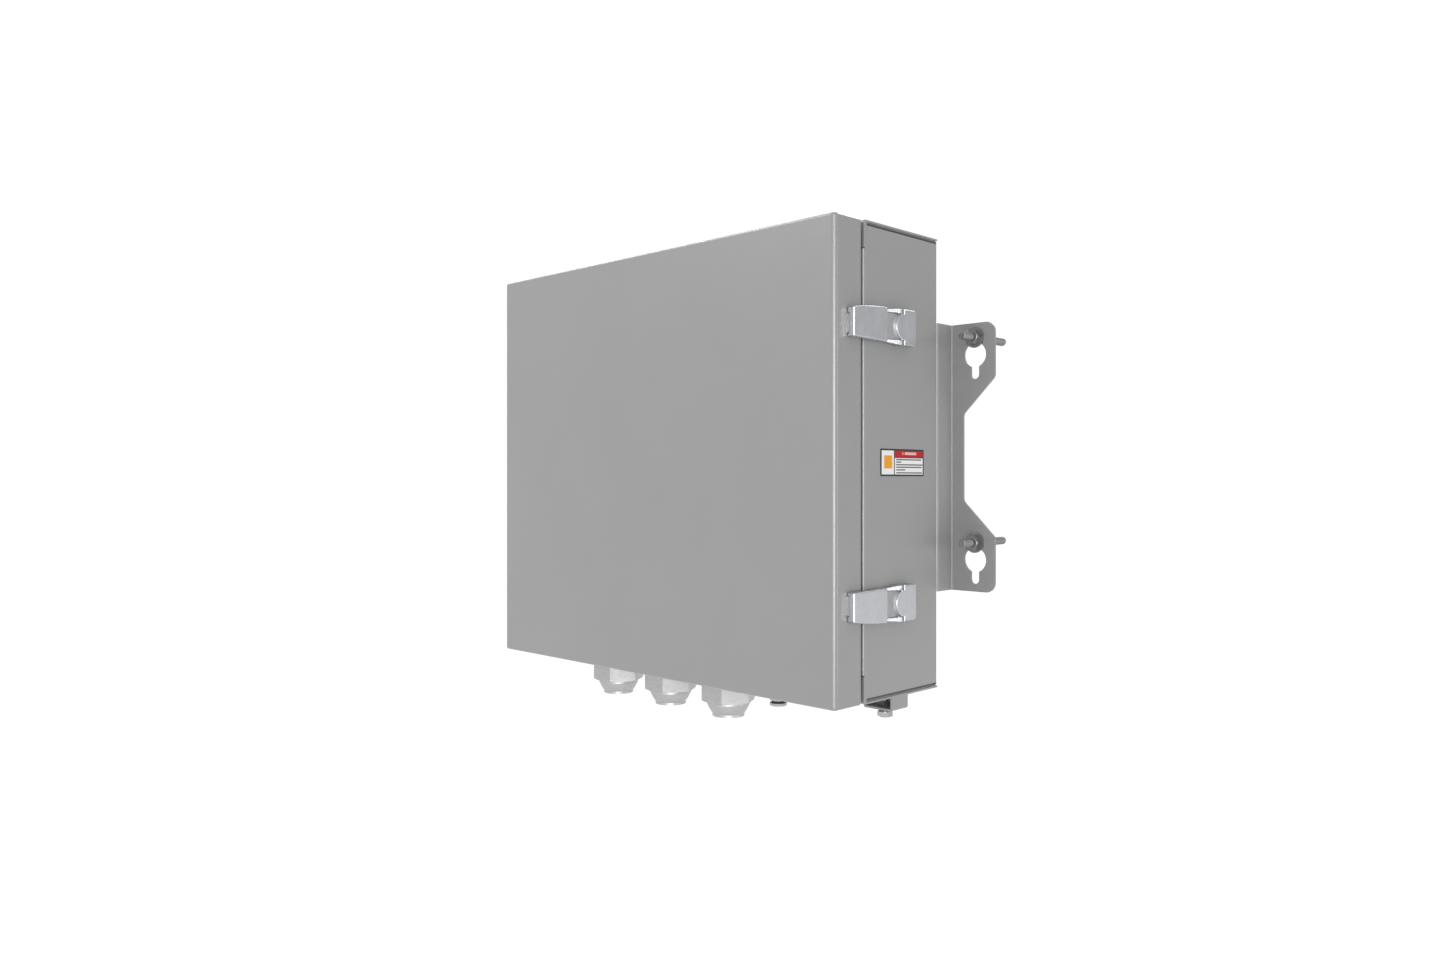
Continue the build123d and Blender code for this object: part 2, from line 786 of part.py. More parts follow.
def mounting_bracket(x_side):
    """Z-folded bracket; x_side is +1 for the right one and -1 for the left one."""
    waist_low = ear_row_z - bracket_height / 2 + ear_length
    waist_high = ear_row_z + bracket_height / 2 - ear_length
    slope = ear_reach - waist_reach
    with BuildPart() as bracket:
        with BuildSketch(Plane.XY.offset(ear_row_z - bracket_height / 2)):
            with BuildLine():
                FilletPolyline(
                    (x_side * (side_x - bracket_foot), back_y),
                    (x_side * side_x, back_y),
                    (x_side * side_x, -bracket_sheet),
                    (x_side * (side_x + ear_reach), -bracket_sheet),
                    (x_side * (side_x + ear_reach), 0),
                    (x_side * (side_x - bracket_sheet), 0),
                    (x_side * (side_x - bracket_sheet), back_y + bracket_sheet),
                    (x_side * (side_x - bracket_foot), back_y + bracket_sheet),
                    radius=[0, bracket_bend, bracket_crease, 0, 0, bracket_bend, bracket_crease, 0],
                    close=True,
                )
            make_face()
        extrude(amount=bracket_height)
        # waist between the two ears
        with BuildSketch(front_plane(0)):
            with BuildLine():
                Polyline(
                    (x_side * (side_x + ear_reach), waist_high),
                    (x_side * (side_x + waist_reach), waist_high - slope),
                    (x_side * (side_x + waist_reach), waist_low + slope),
                    (x_side * (side_x + ear_reach), waist_low),
                    close=True,
                )
            make_face()
        extrude(amount=bracket_sheet, mode=Mode.SUBTRACT)
        ear_edges = bracket.edges().filter_by(Axis.Y).filter_by(lambda e: abs(e.center().X) > side_x + bend)
        knees = ear_edges.filter_by(lambda e: abs(e.center().Z - ear_row_z) < bracket_height / 2 - 1)
        fillet(knees, ear_knee)
        corners = bracket.edges().filter_by(Axis.Y).filter_by(
            lambda e: abs(e.center().X) > side_x + ear_reach - 1
            and abs(e.center().Z - ear_row_z) > bracket_height / 2 - 1
        )
        fillet(corners, ear_corner)
        # double keyholes: a round entry with a slot above and a slot below
        with BuildSketch(front_plane(0)):
            for key_z in keyhole_rows:
                with Locations((x_side * ear_hole_x, key_z)):
                    Circle(keyhole_radius)
                with Locations((x_side * ear_hole_x, key_z + stud_rise), (x_side * ear_hole_x, key_z - slot_drop)):
                    Circle(slot_width / 2)
                with Locations((x_side * ear_hole_x, key_z + (stud_rise - slot_drop) / 2)):
                    Rectangle(slot_width, stud_rise + slot_drop)
        extrude(amount=bracket_sheet, mode=Mode.SUBTRACT)
        with BuildSketch(front_plane(back_y + bracket_sheet)):
            with Locations(*[(x_side * bracket_bolt_x, z) for z in bracket_bolt_rows]):
                Circle(bracket_bolt_radius + screw_gap)
        extrude(amount=bracket_sheet, mode=Mode.SUBTRACT)
    return bracket.part


write(mounting_bracket(1), "bracket_right")
write(mounting_bracket(-1), "bracket_left")

with BuildPart() as bracket_bolts:
    with BuildSketch(front_plane(back_y + bracket_sheet)):
        with Locations(*bracket_bolt_spots):
            RegularPolygon(hex_corner(bracket_bolt_across), 6)
    extrude(amount=-bracket_bolt_head)
    with BuildSketch(front_plane(back_y + bracket_sheet)):
        with Locations(*bracket_bolt_spots):
            Circle(bracket_bolt_radius)
    extrude(amount=bracket_sheet + sheet + bracket_nut + 2)
write(bracket_bolts.part, "bracket_bolts")

with BuildPart() as bracket_nuts:
    with BuildSketch(front_plane(inner_back_y)):
        with Locations(*bracket_bolt_spots):
            RegularPolygon(hex_corner(bracket_bolt_across), 6)
            Circle(bracket_bolt_radius + pin_gap, mode=Mode.SUBTRACT)
    extrude(amount=bracket_nut)
write(bracket_nuts.part, "bracket_nuts")

with BuildPart() as pole_studs:
    with BuildSketch(front_plane(stud_back)):
        with Locations(*stud_spots):
            Circle(stud_radius)
    extrude(amount=stud_back)
    with BuildSketch(front_plane(0)):
        with Locations(*stud_spots):
            Circle(stud_neck_radius)
    extrude(amount=stud_front)
    chamfer(pole_studs.faces().filter_by(Axis.Y).group_by(Axis.Y)[0].edges(), 1.0)
    chamfer(pole_studs.faces().filter_by(Axis.Y).group_by(Axis.Y)[-1].edges(), 1.0)
write(pole_studs.part, "pole_studs")

with BuildPart() as pole_washers:
    with BuildSketch(front_plane(-bracket_sheet)):
        with Locations(*stud_spots):
            Circle(stud_washer_radius)
            Circle(stud_neck_radius + screw_gap, mode=Mode.SUBTRACT)
    extrude(amount=stud_washer)
write(pole_washers.part, "pole_washers")

with BuildPart() as pole_nuts:
    with Locations(*[Location((x, -bracket_sheet - stud_washer, z), (90, 0, 0)) for x, z in stud_spots]):
        add(chamfered_hex(0, stud_nut, hex_corner(stud_nut_across), nut_chamfer))
    with BuildSketch(front_plane(-bracket_sheet - stud_washer)):
        with Locations(*stud_spots):
            Circle(stud_neck_radius + pin_gap)
    extrude(amount=stud_nut, mode=Mode.SUBTRACT)
write(pole_nuts.part, "pole_nuts")

# ---------------------------------------------------------------- cable glands, made at the origin, hanging down

cap_top = -gland_gasket - gland_flange - gland_cap_gap
cap_hex_low = cap_top - gland_cap_hex
seal_top = cap_hex_low + gland_chamfer
seal_low = seal_top - gland_seal_length
spigot_radius = gland_thread_radius - 1.0

with BuildPart() as gland_body:
    add(chamfered_hex(-gland_gasket - gland_flange, gland_flange, gland_hex_radius, gland_chamfer))
    with BuildSketch(Plane.XY.offset(seal_top)):
        Circle(spigot_radius)
    extrude(amount=-gland_gasket - seal_top)
    with BuildSketch(Plane.XY.offset(-gland_gasket)):
        Circle(gland_thread_radius)
    extrude(amount=gland_gasket + gland_thread_inside)
    with BuildSketch(Plane.XY.offset(seal_top)):
        Circle(gland_bore)
    extrude(amount=gland_thread_inside - seal_top, mode=Mode.SUBTRACT)

with BuildPart() as gland_cap:
    add(chamfered_hex(cap_hex_low, gland_cap_hex, gland_hex_radius, gland_chamfer))
    with BuildSketch(Plane.XZ):
        with BuildLine():
            Polyline(
                (0, cap_hex_low + gland_chamfer),
                (gland_dome_radius, cap_hex_low + gland_chamfer),
                (gland_dome_radius, cap_hex_low - gland_chamfer),
            )
            ThreePointArc(
                (gland_dome_radius, cap_hex_low - gland_chamfer),
                (gland_dome_radius - 2.2, cap_hex_low - 2 * gland_chamfer - 2.2),
                (gland_mouth_radius + 1.0, -gland_total + 4.6),
            )
            Polyline(
                (gland_mouth_radius + 1.0, -gland_total + 4.6),
                (gland_mouth_radius, -gland_total + 3.4),
                (gland_mouth_radius, -gland_total),
                (0, -gland_total),
                (0, cap_hex_low + gland_chamfer),
            )
        make_face()
    revolve(axis=Axis.Z)
    with BuildSketch(Plane.XZ):
        with BuildLine():
            Polyline(
                (0, cap_top),
                (spigot_radius + seat_gap, cap_top),
                (spigot_radius + seat_gap, seal_low),
                (gland_mouth_bore, seal_low - 5.0),
                (gland_mouth_bore, -gland_total),
                (0, -gland_total),
                close=True,
            )
        make_face()
    revolve(axis=Axis.Z, mode=Mode.SUBTRACT)

with BuildPart() as gland_seal:
    with BuildSketch(Plane.XY.offset(seal_low)):
        Circle(spigot_radius)
        Circle(gland_seal_bore, mode=Mode.SUBTRACT)
    extrude(amount=gland_seal_length)

with BuildPart() as gland_washer:
    with BuildSketch(Plane.XY.offset(-gland_gasket)):
        Circle(gland_hex_radius * cos(pi / 6) - 1.0)
        Circle(gland_thread_radius + pin_gap, mode=Mode.SUBTRACT)
    extrude(amount=gland_gasket)

with BuildPart() as gland_lock_ring:
    add(chamfered_hex(sheet, gland_lock_nut, gland_hex_radius, gland_chamfer))
    with BuildSketch(Plane.XY.offset(sheet)):
        Circle(gland_thread_radius + pin_gap)
    extrude(amount=gland_lock_nut, mode=Mode.SUBTRACT)

gland_pieces = {
    "gland_bodies": gland_body,
    "gland_caps": gland_cap,
    "gland_seals": gland_seal,
    "gland_gaskets": gland_washer,
    "gland_lock_nuts": gland_lock_ring,
}
for name, piece in gland_pieces.items():
    with BuildPart() as group:
        with Locations(*gland_spots):
            add(piece.part)
    write(group.part, name)

# ---------------------------------------------------------------- breather

with BuildPart() as vent_body:
    with BuildSketch(Plane.XY.offset(bottom_z - vent_length + vent_cap + vent_slot)):
        with Locations(vent_spot[:2]):
            Circle(vent_radius)
            Circle(vent_thread - 3.0, mode=Mode.SUBTRACT)
    extrude(amount=vent_length - vent_cap - vent_slot)
    with BuildSketch(Plane.XY.offset(bottom_z)):
        with Locations(vent_spot[:2]):
            Circle(vent_thread)
            Circle(vent_thread - 3.0, mode=Mode.SUBTRACT)
    extrude(amount=vent_inside)
write(vent_body.part, "vent_body")

with BuildPart() as vent_membrane:
    with BuildSketch(Plane.XY.offset(bottom_z - vent_length + vent_cap)):
        with Locations(vent_spot[:2]):
            Circle(vent_thread)
    extrude(amount=vent_slot)
write(vent_membrane.part, "vent_membrane")

with BuildPart() as vent_disc:
    with BuildSketch(Plane.XY.offset(bottom_z - vent_length)):
        with Locations(vent_spot[:2]):
            Circle(vent_radius)
    extrude(amount=vent_cap)
    fillet(vent_disc.faces().sort_by(Axis.Z)[0].edges(), 1.2)
write(vent_disc.part, "vent_cap")

with BuildPart() as vent_lock_nut:
    with BuildSketch(Plane.XY.offset(bottom_z + sheet)):
        with Locations(vent_spot[:2]):
            RegularPolygon(hex_corner(vent_nut_across), 6)
            Circle(vent_thread + pin_gap, mode=Mode.SUBTRACT)
    extrude(amount=vent_nut)
write(vent_lock_nut.part, "vent_nut")

# ---------------------------------------------------------------- earthing bracket

with BuildPart() as earth_bracket:
    with BuildSketch(front_plane(body_front_y + earth_from_front)):
        with BuildLine():
            left = side_x - earth_length
            FilletPolyline(
                (left, bottom_z),
                (left, bottom_z - earth_drop),
                (side_x, bottom_z - earth_drop),
                (side_x, bottom_z),
                (side_x - earth_sheet, bottom_z),
                (side_x - earth_sheet, bottom_z - earth_drop + earth_sheet),
                (left + earth_sheet, bottom_z - earth_drop + earth_sheet),
                (left + earth_sheet, bottom_z),
                radius=[0, bend, bend, 0, 0, 0.7, 0.7, 0],
                close=True,
            )
        make_face()
    extrude(amount=-earth_width)
    with BuildSketch(Plane.XY.offset(bottom_z - earth_drop)):
        with Locations((earth_bolt_x, earth_bolt_y)):
            Circle(earth_bolt_radius + screw_gap)
    extrude(amount=earth_sheet, mode=Mode.SUBTRACT)
write(earth_bracket.part, "earth_bracket")

washer_top = bottom_z - earth_drop
head_top = washer_top - earth_washer - earth_lock_washer
nut_low = washer_top + earth_sheet

with BuildPart() as earth_bolt:
    with Locations((earth_bolt_x, earth_bolt_y)):
        add(chamfered_hex(head_top - earth_head, earth_head, hex_corner(earth_bolt_across), nut_chamfer))
    with BuildSketch(Plane.XY.offset(head_top)):
        with Locations((earth_bolt_x, earth_bolt_y)):
            Circle(earth_bolt_radius)
    extrude(amount=nut_low + earth_nut + 2.0 - head_top)
write(earth_bolt.part, "earth_bolt")

earth_stack = (
    (washer_top - earth_washer, earth_washer, Circle, earth_washer_radius),
    (head_top, earth_lock_washer, Circle, earth_lock_washer_radius),
)
with BuildPart() as earth_fasteners:
    for z_low, thickness, shape, radius in earth_stack:
        with BuildSketch(Plane.XY.offset(z_low)):
            with Locations((earth_bolt_x, earth_bolt_y)):
                Circle(radius)
                Circle(earth_bolt_radius + pin_gap, mode=Mode.SUBTRACT)
        extrude(amount=thickness)
    with BuildSketch(Plane.XY.offset(nut_low)):
        with Locations((earth_bolt_x, earth_bolt_y)):
            RegularPolygon(hex_corner(earth_bolt_across), 6)
            Circle(earth_bolt_radius + pin_gap, mode=Mode.SUBTRACT)
    extrude(amount=earth_nut)
write(earth_fasteners.part, "earth_nut_and_washers")

# ---------------------------------------------------------------- mounting plate

busbar_feet = [
    (busbar_centre_x + end * (busbar_length / 2 - insulator_radius), z)
    for end in (-1, 1)
    for z in busbar_rows.values()
]

with BuildPart() as mounting_plate:
    with BuildSketch(front_plane(plate_front_y + plate_sheet)):
        with Locations((0, (plate_top_z + plate_bottom_z) / 2)):
            RectangleRounded(2 * plate_half, plate_top_z - plate_bottom_z, 4.0)
        with Locations(*plate_bolt_spots):
            Circle(plate_bolt + screw_gap, mode=Mode.SUBTRACT)
    extrude(amount=plate_sheet)
write(mounting_plate.part, "mounting_plate")

with BuildPart() as plate_standoffs:
    with BuildSketch(front_plane(inner_back_y)):
        with Locations(*plate_bolt_spots):
            RegularPolygon(hex_corner(plate_nut_across), 6)
    extrude(amount=plate_standoff)
    with BuildSketch(front_plane(back_y)):
        with Locations(*plate_bolt_spots):
            Circle(plate_bolt)
    extrude(amount=sheet + plate_standoff + plate_sheet + plate_nut + 2)
write(plate_standoffs.part, "plate_standoffs")

with BuildPart() as plate_nuts:
    with BuildSketch(front_plane(plate_front_y)):
        with Locations(*plate_bolt_spots):
            RegularPolygon(hex_corner(plate_nut_across), 6)
            Circle(plate_bolt + pin_gap, mode=Mode.SUBTRACT)
    extrude(amount=plate_nut)
write(plate_nuts.part, "plate_nuts")

with BuildPart() as device_rail:
    with BuildSketch(Plane.YZ.offset(-rail_length / 2)):
        with Locations((plate_front_y - rail_sheet / 2, rail_z)):
            Rectangle(rail_sheet, rail_channel)
        for z_side in (-1, 1):
            web_z = rail_z + z_side * (rail_channel - rail_sheet) / 2
            with Locations((plate_front_y - rail_depth / 2, web_z)):
                Rectangle(rail_depth, rail_sheet)
            lip = (rail_width - rail_channel) / 2 + rail_sheet
            with Locations((rail_front_y + rail_sheet / 2, rail_z + z_side * (rail_width - lip) / 2)):
                Rectangle(rail_sheet, lip)
    extrude(amount=rail_length)
write(device_rail.part, "device_rail")

# ---------------------------------------------------------------- fuse holders

carrier_half = holder_width / 2 - holder_wall - carrier_side_gap

with BuildPart() as holder_base:
    with BuildSketch(Plane.YZ.offset(-holder_width / 2)):
        with Locations((rail_front_y - holder_depth / 2, rail_z)):
            Rectangle(holder_depth, holder_height)
        block_low = holder_pivot_z - holder_floor
        block_top = rail_z + holder_block_top
        with Locations((holder_face_y + holder_block_depth / 2, (block_low + block_top) / 2)):
            Rectangle(holder_block_depth, block_top - block_low)
    extrude(amount=holder_width)
    low_front = holder_base.edges().filter_by(Axis.X).group_by(Axis.Y)[0].sort_by(Axis.Z)[0]
    fillet(low_front, holder_floor)
    with BuildSketch(Plane.YZ.offset(-holder_width / 2 + holder_wall)):
        with Locations((holder_pivot_y, holder_pivot_z)):
            Circle(carrier_radius + 1.0)
        with BuildLine():
            Polyline(
                (holder_face_y, holder_pivot_z - holder_floor + 1.0),
                (holder_pivot_y + carrier_radius + 1.0, holder_pivot_z - holder_floor + 1.0),
                (holder_pivot_y + carrier_radius + 1.0, holder_pivot_z + carrier_radius + 1.0),
                (holder_face_y, holder_pivot_z + carrier_radius + 1.0),
                close=True,
            )
        make_face(mode=Mode.INTERSECT)
        # the floor stops behind the pivot, so that the carrier's heel can swing down
        heel_room = holder_floor - 1.0
        with Locations((holder_pivot_y + (heel_room - holder_pivot_in) / 2, holder_pivot_z - holder_floor / 2)):
            Rectangle(heel_room + holder_pivot_in, 2 * holder_floor)
    extrude(amount=holder_width - 2 * holder_wall, mode=Mode.SUBTRACT)
    with BuildSketch(Plane.YZ.offset(-holder_width / 2)):
        with Locations((holder_pivot_y, holder_pivot_z)):
            Circle(carrier_pin)
    extrude(amount=holder_width)

with BuildPart() as fuse_holder_bases:
    with Locations(*[(x, 0, 0) for x in holder_centres]):
        add(holder_base.part)
write(fuse_holder_bases.part, "fuse_holder_bases")

fuse_y = holder_pivot_y + fuse_in
fuse_low_z = holder_pivot_z + fuse_bottom

with BuildPart() as carrier:
    with BuildSketch(Plane.YZ.offset(-carrier_half)):
        with Locations((holder_pivot_y, holder_pivot_z)):
            Circle(carrier_radius)
        with BuildLine():
            Polyline(
                (holder_face_y - carrier_front_gap, holder_pivot_z - holder_floor + 2.0),
                (holder_pivot_y + carrier_radius, holder_pivot_z - holder_floor + 2.0),
                (holder_pivot_y + carrier_radius, holder_pivot_z + carrier_radius),
                (holder_face_y - carrier_front_gap, holder_pivot_z + carrier_radius),
                close=True,
            )
        make_face(mode=Mode.INTERSECT)
    extrude(amount=2 * carrier_half)
    plate_back = holder_face_y - carrier_front_gap
    with BuildSketch(front_plane(plate_back)):
        with Locations((0, holder_pivot_z + (carrier_top - carrier_foot) / 2)):
            RectangleRounded(holder_width - 1.0, carrier_top + carrier_foot, 1.5)
    extrude(amount=carrier_front)
    with BuildSketch(front_plane(plate_back - carrier_front)):
        with Locations((0, holder_pivot_z + carrier_top - 5.0)):
            RectangleRounded(holder_width - 8.0, 7.0, 2.0)
    extrude(amount=carrier_grip)
    with BuildSketch(Plane.XY.offset(fuse_low_z - fuse_slot_gap)):
        for fuse_side in (-1, 1):
            with Locations((fuse_side * fuse_pitch / 2, fuse_y)):
                Circle(fuse_radius + fuse_slot_gap)
            with Locations((fuse_side * fuse_pitch / 2, fuse_y + carrier_radius / 2)):
                Rectangle(2 * (fuse_radius + fuse_slot_gap), carrier_radius)
    extrude(amount=fuse_length + 2 * fuse_slot_gap, mode=Mode.SUBTRACT)
    with BuildSketch(Plane.YZ.offset(-carrier_half)):
        with Locations((holder_pivot_y, holder_pivot_z)):
            Circle(carrier_bore)
    extrude(amount=2 * carrier_half, mode=Mode.SUBTRACT)

with BuildPart() as fuse_pair:
    with BuildSketch(Plane.XY.offset(fuse_low_z)):
        with Locations(*[(fuse_side * fuse_pitch / 2, fuse_y) for fuse_side in (-1, 1)]):
            Circle(fuse_radius)
    extrude(amount=fuse_length)

for n, x in enumerate(holder_centres, start=1):
    with BuildPart() as placed_carrier:
        with Locations((x, 0, 0)):
            add(carrier.part)
    write(placed_carrier.part, f"fuse_carrier_{n}")
    with BuildPart() as placed_fuses:
        with Locations((x, 0, 0)):
            add(fuse_pair.part)
    write(placed_fuses.part, f"fuse_links_{n}")

# ---------------------------------------------------------------- surge arrester

surge_width = surge_pole_width * surge_poles
surge_face_y = rail_front_y - surge_depth
with BuildPart() as surge_base:
    with BuildSketch(Plane.YZ.offset(surge_x - surge_width / 2)):
        with Locations(((rail_front_y + surge_face_y) / 2, rail_z)):
            Rectangle(surge_depth, surge_height)
        with Locations((surge_face_y + surge_slot_depth / 2, rail_z)):
            Rectangle(surge_slot_depth, surge_slot_height, mode=Mode.SUBTRACT)
    extrude(amount=surge_width)
write(surge_base.part, "surge_arrester_base")

with BuildPart() as surge_modules:
    module_depth = surge_slot_depth - surge_clearance + surge_module_proud
    with BuildSketch(front_plane(surge_face_y + surge_slot_depth - surge_clearance)):
        first_x = surge_x - surge_width / 2 + surge_pole_width / 2
        with Locations(*[(first_x + n * surge_pole_width, rail_z) for n in range(surge_poles)]):
            Rectangle(surge_pole_width - surge_clearance, surge_slot_height - 2 * surge_clearance)
    extrude(amount=module_depth)
    fillet(surge_modules.faces().filter_by(Axis.Y).group_by(Axis.Y)[0].edges(), 1.5)
write(surge_modules.part, "surge_modules")

# ---------------------------------------------------------------- isolator

with BuildPart() as isolator_body:
    with BuildSketch(front_plane(plate_front_y)):
        with Locations((isolator_x, isolator_z)):
            Rectangle(isolator_width, isolator_height)
    extrude(amount=isolator_depth)
    # stepped terminal shelves at the top and bottom
    with BuildSketch(front_plane(isolator_face_y)):
        for z_side in (-1, 1):
            with Locations((isolator_x, isolator_z + z_side * (isolator_height - isolator_step_height) / 2)):
                Rectangle(isolator_width, isolator_step_height)
    extrude(amount=-isolator_step, mode=Mode.SUBTRACT)
    with BuildSketch(front_plane(isolator_face_y)):
        with Locations((isolator_x, isolator_z)):
            Circle(handle_spindle + pin_gap)
    extrude(amount=-handle_spindle_length - 1.0, mode=Mode.SUBTRACT)
    # cable terminals
    for z_side in (-1, 1):
        with BuildSketch(Plane.XY.offset(isolator_z + z_side * isolator_height / 2)):
            for x_step in (-1.5, -0.5, 0.5, 1.5):
                terminal_y = isolator_face_y + isolator_step + 18.0
                with Locations((isolator_x + x_step * isolator_width / 4.4, terminal_y)):
                    Circle(7.0)
        extrude(amount=-z_side * 20.0, mode=Mode.SUBTRACT)
write(isolator_body.part, "isolator_body")

with BuildPart() as isolator_handle:
    with BuildSketch(front_plane(isolator_face_y - handle_gap)):
        with Locations((isolator_x, isolator_z)):
            Circle(handle_radius)
    extrude(amount=handle_disc)
    with BuildSketch(front_plane(isolator_face_y - handle_gap - handle_disc)):
        with Locations((isolator_x, isolator_z)):
            SlotOverall(2 * handle_radius - 4.0, handle_grip_width, rotation=90)
    extrude(amount=handle_grip, taper=4)
    with BuildSketch(front_plane(isolator_face_y - handle_gap)):
        with Locations((isolator_x, isolator_z)):
            Circle(handle_spindle)
    extrude(amount=-handle_spindle_length)
write(isolator_handle.part, "isolator_handle")

# ---------------------------------------------------------------- busbars and earth bar

with BuildPart() as busbar_insulators:
    with BuildSketch(front_plane(plate_front_y)):
        with Locations(*busbar_feet):
            Circle(insulator_radius)
    extrude(amount=insulator_height)
    with BuildSketch(front_plane(plate_front_y - insulator_height / 2 + 4.0)):
        with Locations(*busbar_feet):
            Circle(insulator_radius)
            Circle(insulator_radius - 2.5, mode=Mode.SUBTRACT)
    extrude(amount=8.0, mode=Mode.SUBTRACT)
write(busbar_insulators.part, "busbar_insulators")

for name, bar_z in busbar_rows.items():
    with BuildPart() as busbar:
        with BuildSketch(front_plane(busbar_back_y)):
            with Locations((busbar_centre_x, bar_z)):
                Rectangle(busbar_length, busbar_width)
            hole_spots = [(busbar_centre_x + (n - 2) * busbar_hole_pitch, bar_z) for n in range(5)]
            with Locations(*hole_spots):
                Circle(busbar_hole, mode=Mode.SUBTRACT)
        extrude(amount=busbar_sheet)
    write(busbar.part, f"{name}_busbar")

with BuildPart() as earth_bar:
    with BuildSketch(front_plane(plate_front_y)):
        foot_step = earth_bar_length / 2 - earth_bar_width / 2
        with Locations(*[(busbar_centre_x + end * foot_step, earth_bar_z) for end in (-1, 1)]):
            Rectangle(earth_bar_width, earth_bar_width)
    extrude(amount=earth_bar_foot)
    with BuildSketch(front_plane(plate_front_y - earth_bar_foot)):
        with Locations((busbar_centre_x, earth_bar_z)):
            Rectangle(earth_bar_length, earth_bar_width)
        middle_hole = (earth_bar_holes - 1) / 2
        with Locations(
            *[(busbar_centre_x + (n - middle_hole) * earth_bar_pitch, earth_bar_z) for n in range(earth_bar_holes)]
        ):
            Circle(earth_bar_hole, mode=Mode.SUBTRACT)
    extrude(amount=earth_bar_sheet)
write(earth_bar.part, "earth_bar")
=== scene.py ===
"""DC combiner box: finishes for the CAD pieces, the label's face, fasteners, light and camera."""

import json
from math import asin, cos, pi, radians, sin

import bmesh
import bpy
from mathutils import Matrix, Vector


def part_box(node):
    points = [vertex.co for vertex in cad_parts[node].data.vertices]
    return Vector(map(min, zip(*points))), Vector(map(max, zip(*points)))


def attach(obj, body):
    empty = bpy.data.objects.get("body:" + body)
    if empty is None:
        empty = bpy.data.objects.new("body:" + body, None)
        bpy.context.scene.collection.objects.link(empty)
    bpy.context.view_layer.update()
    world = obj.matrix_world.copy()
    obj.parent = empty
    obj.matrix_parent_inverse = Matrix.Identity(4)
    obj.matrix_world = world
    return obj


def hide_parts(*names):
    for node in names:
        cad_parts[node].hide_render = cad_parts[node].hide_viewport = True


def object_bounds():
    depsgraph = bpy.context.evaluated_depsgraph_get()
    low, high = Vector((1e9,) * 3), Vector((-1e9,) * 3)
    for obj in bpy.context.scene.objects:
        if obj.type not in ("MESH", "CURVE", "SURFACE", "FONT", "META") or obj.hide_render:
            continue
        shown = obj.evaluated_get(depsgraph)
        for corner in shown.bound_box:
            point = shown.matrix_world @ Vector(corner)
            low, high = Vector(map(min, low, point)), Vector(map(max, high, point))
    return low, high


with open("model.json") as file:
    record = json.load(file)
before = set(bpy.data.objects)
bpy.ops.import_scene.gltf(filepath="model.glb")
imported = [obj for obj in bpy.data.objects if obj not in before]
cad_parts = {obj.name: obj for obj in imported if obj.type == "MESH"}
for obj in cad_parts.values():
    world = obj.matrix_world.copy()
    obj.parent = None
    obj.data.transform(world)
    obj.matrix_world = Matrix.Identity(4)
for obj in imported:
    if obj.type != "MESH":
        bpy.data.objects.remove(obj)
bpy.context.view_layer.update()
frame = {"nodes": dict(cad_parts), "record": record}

nodes = frame["nodes"]
millimetre = 0.001

# ---------------------------------------------------------------- materials


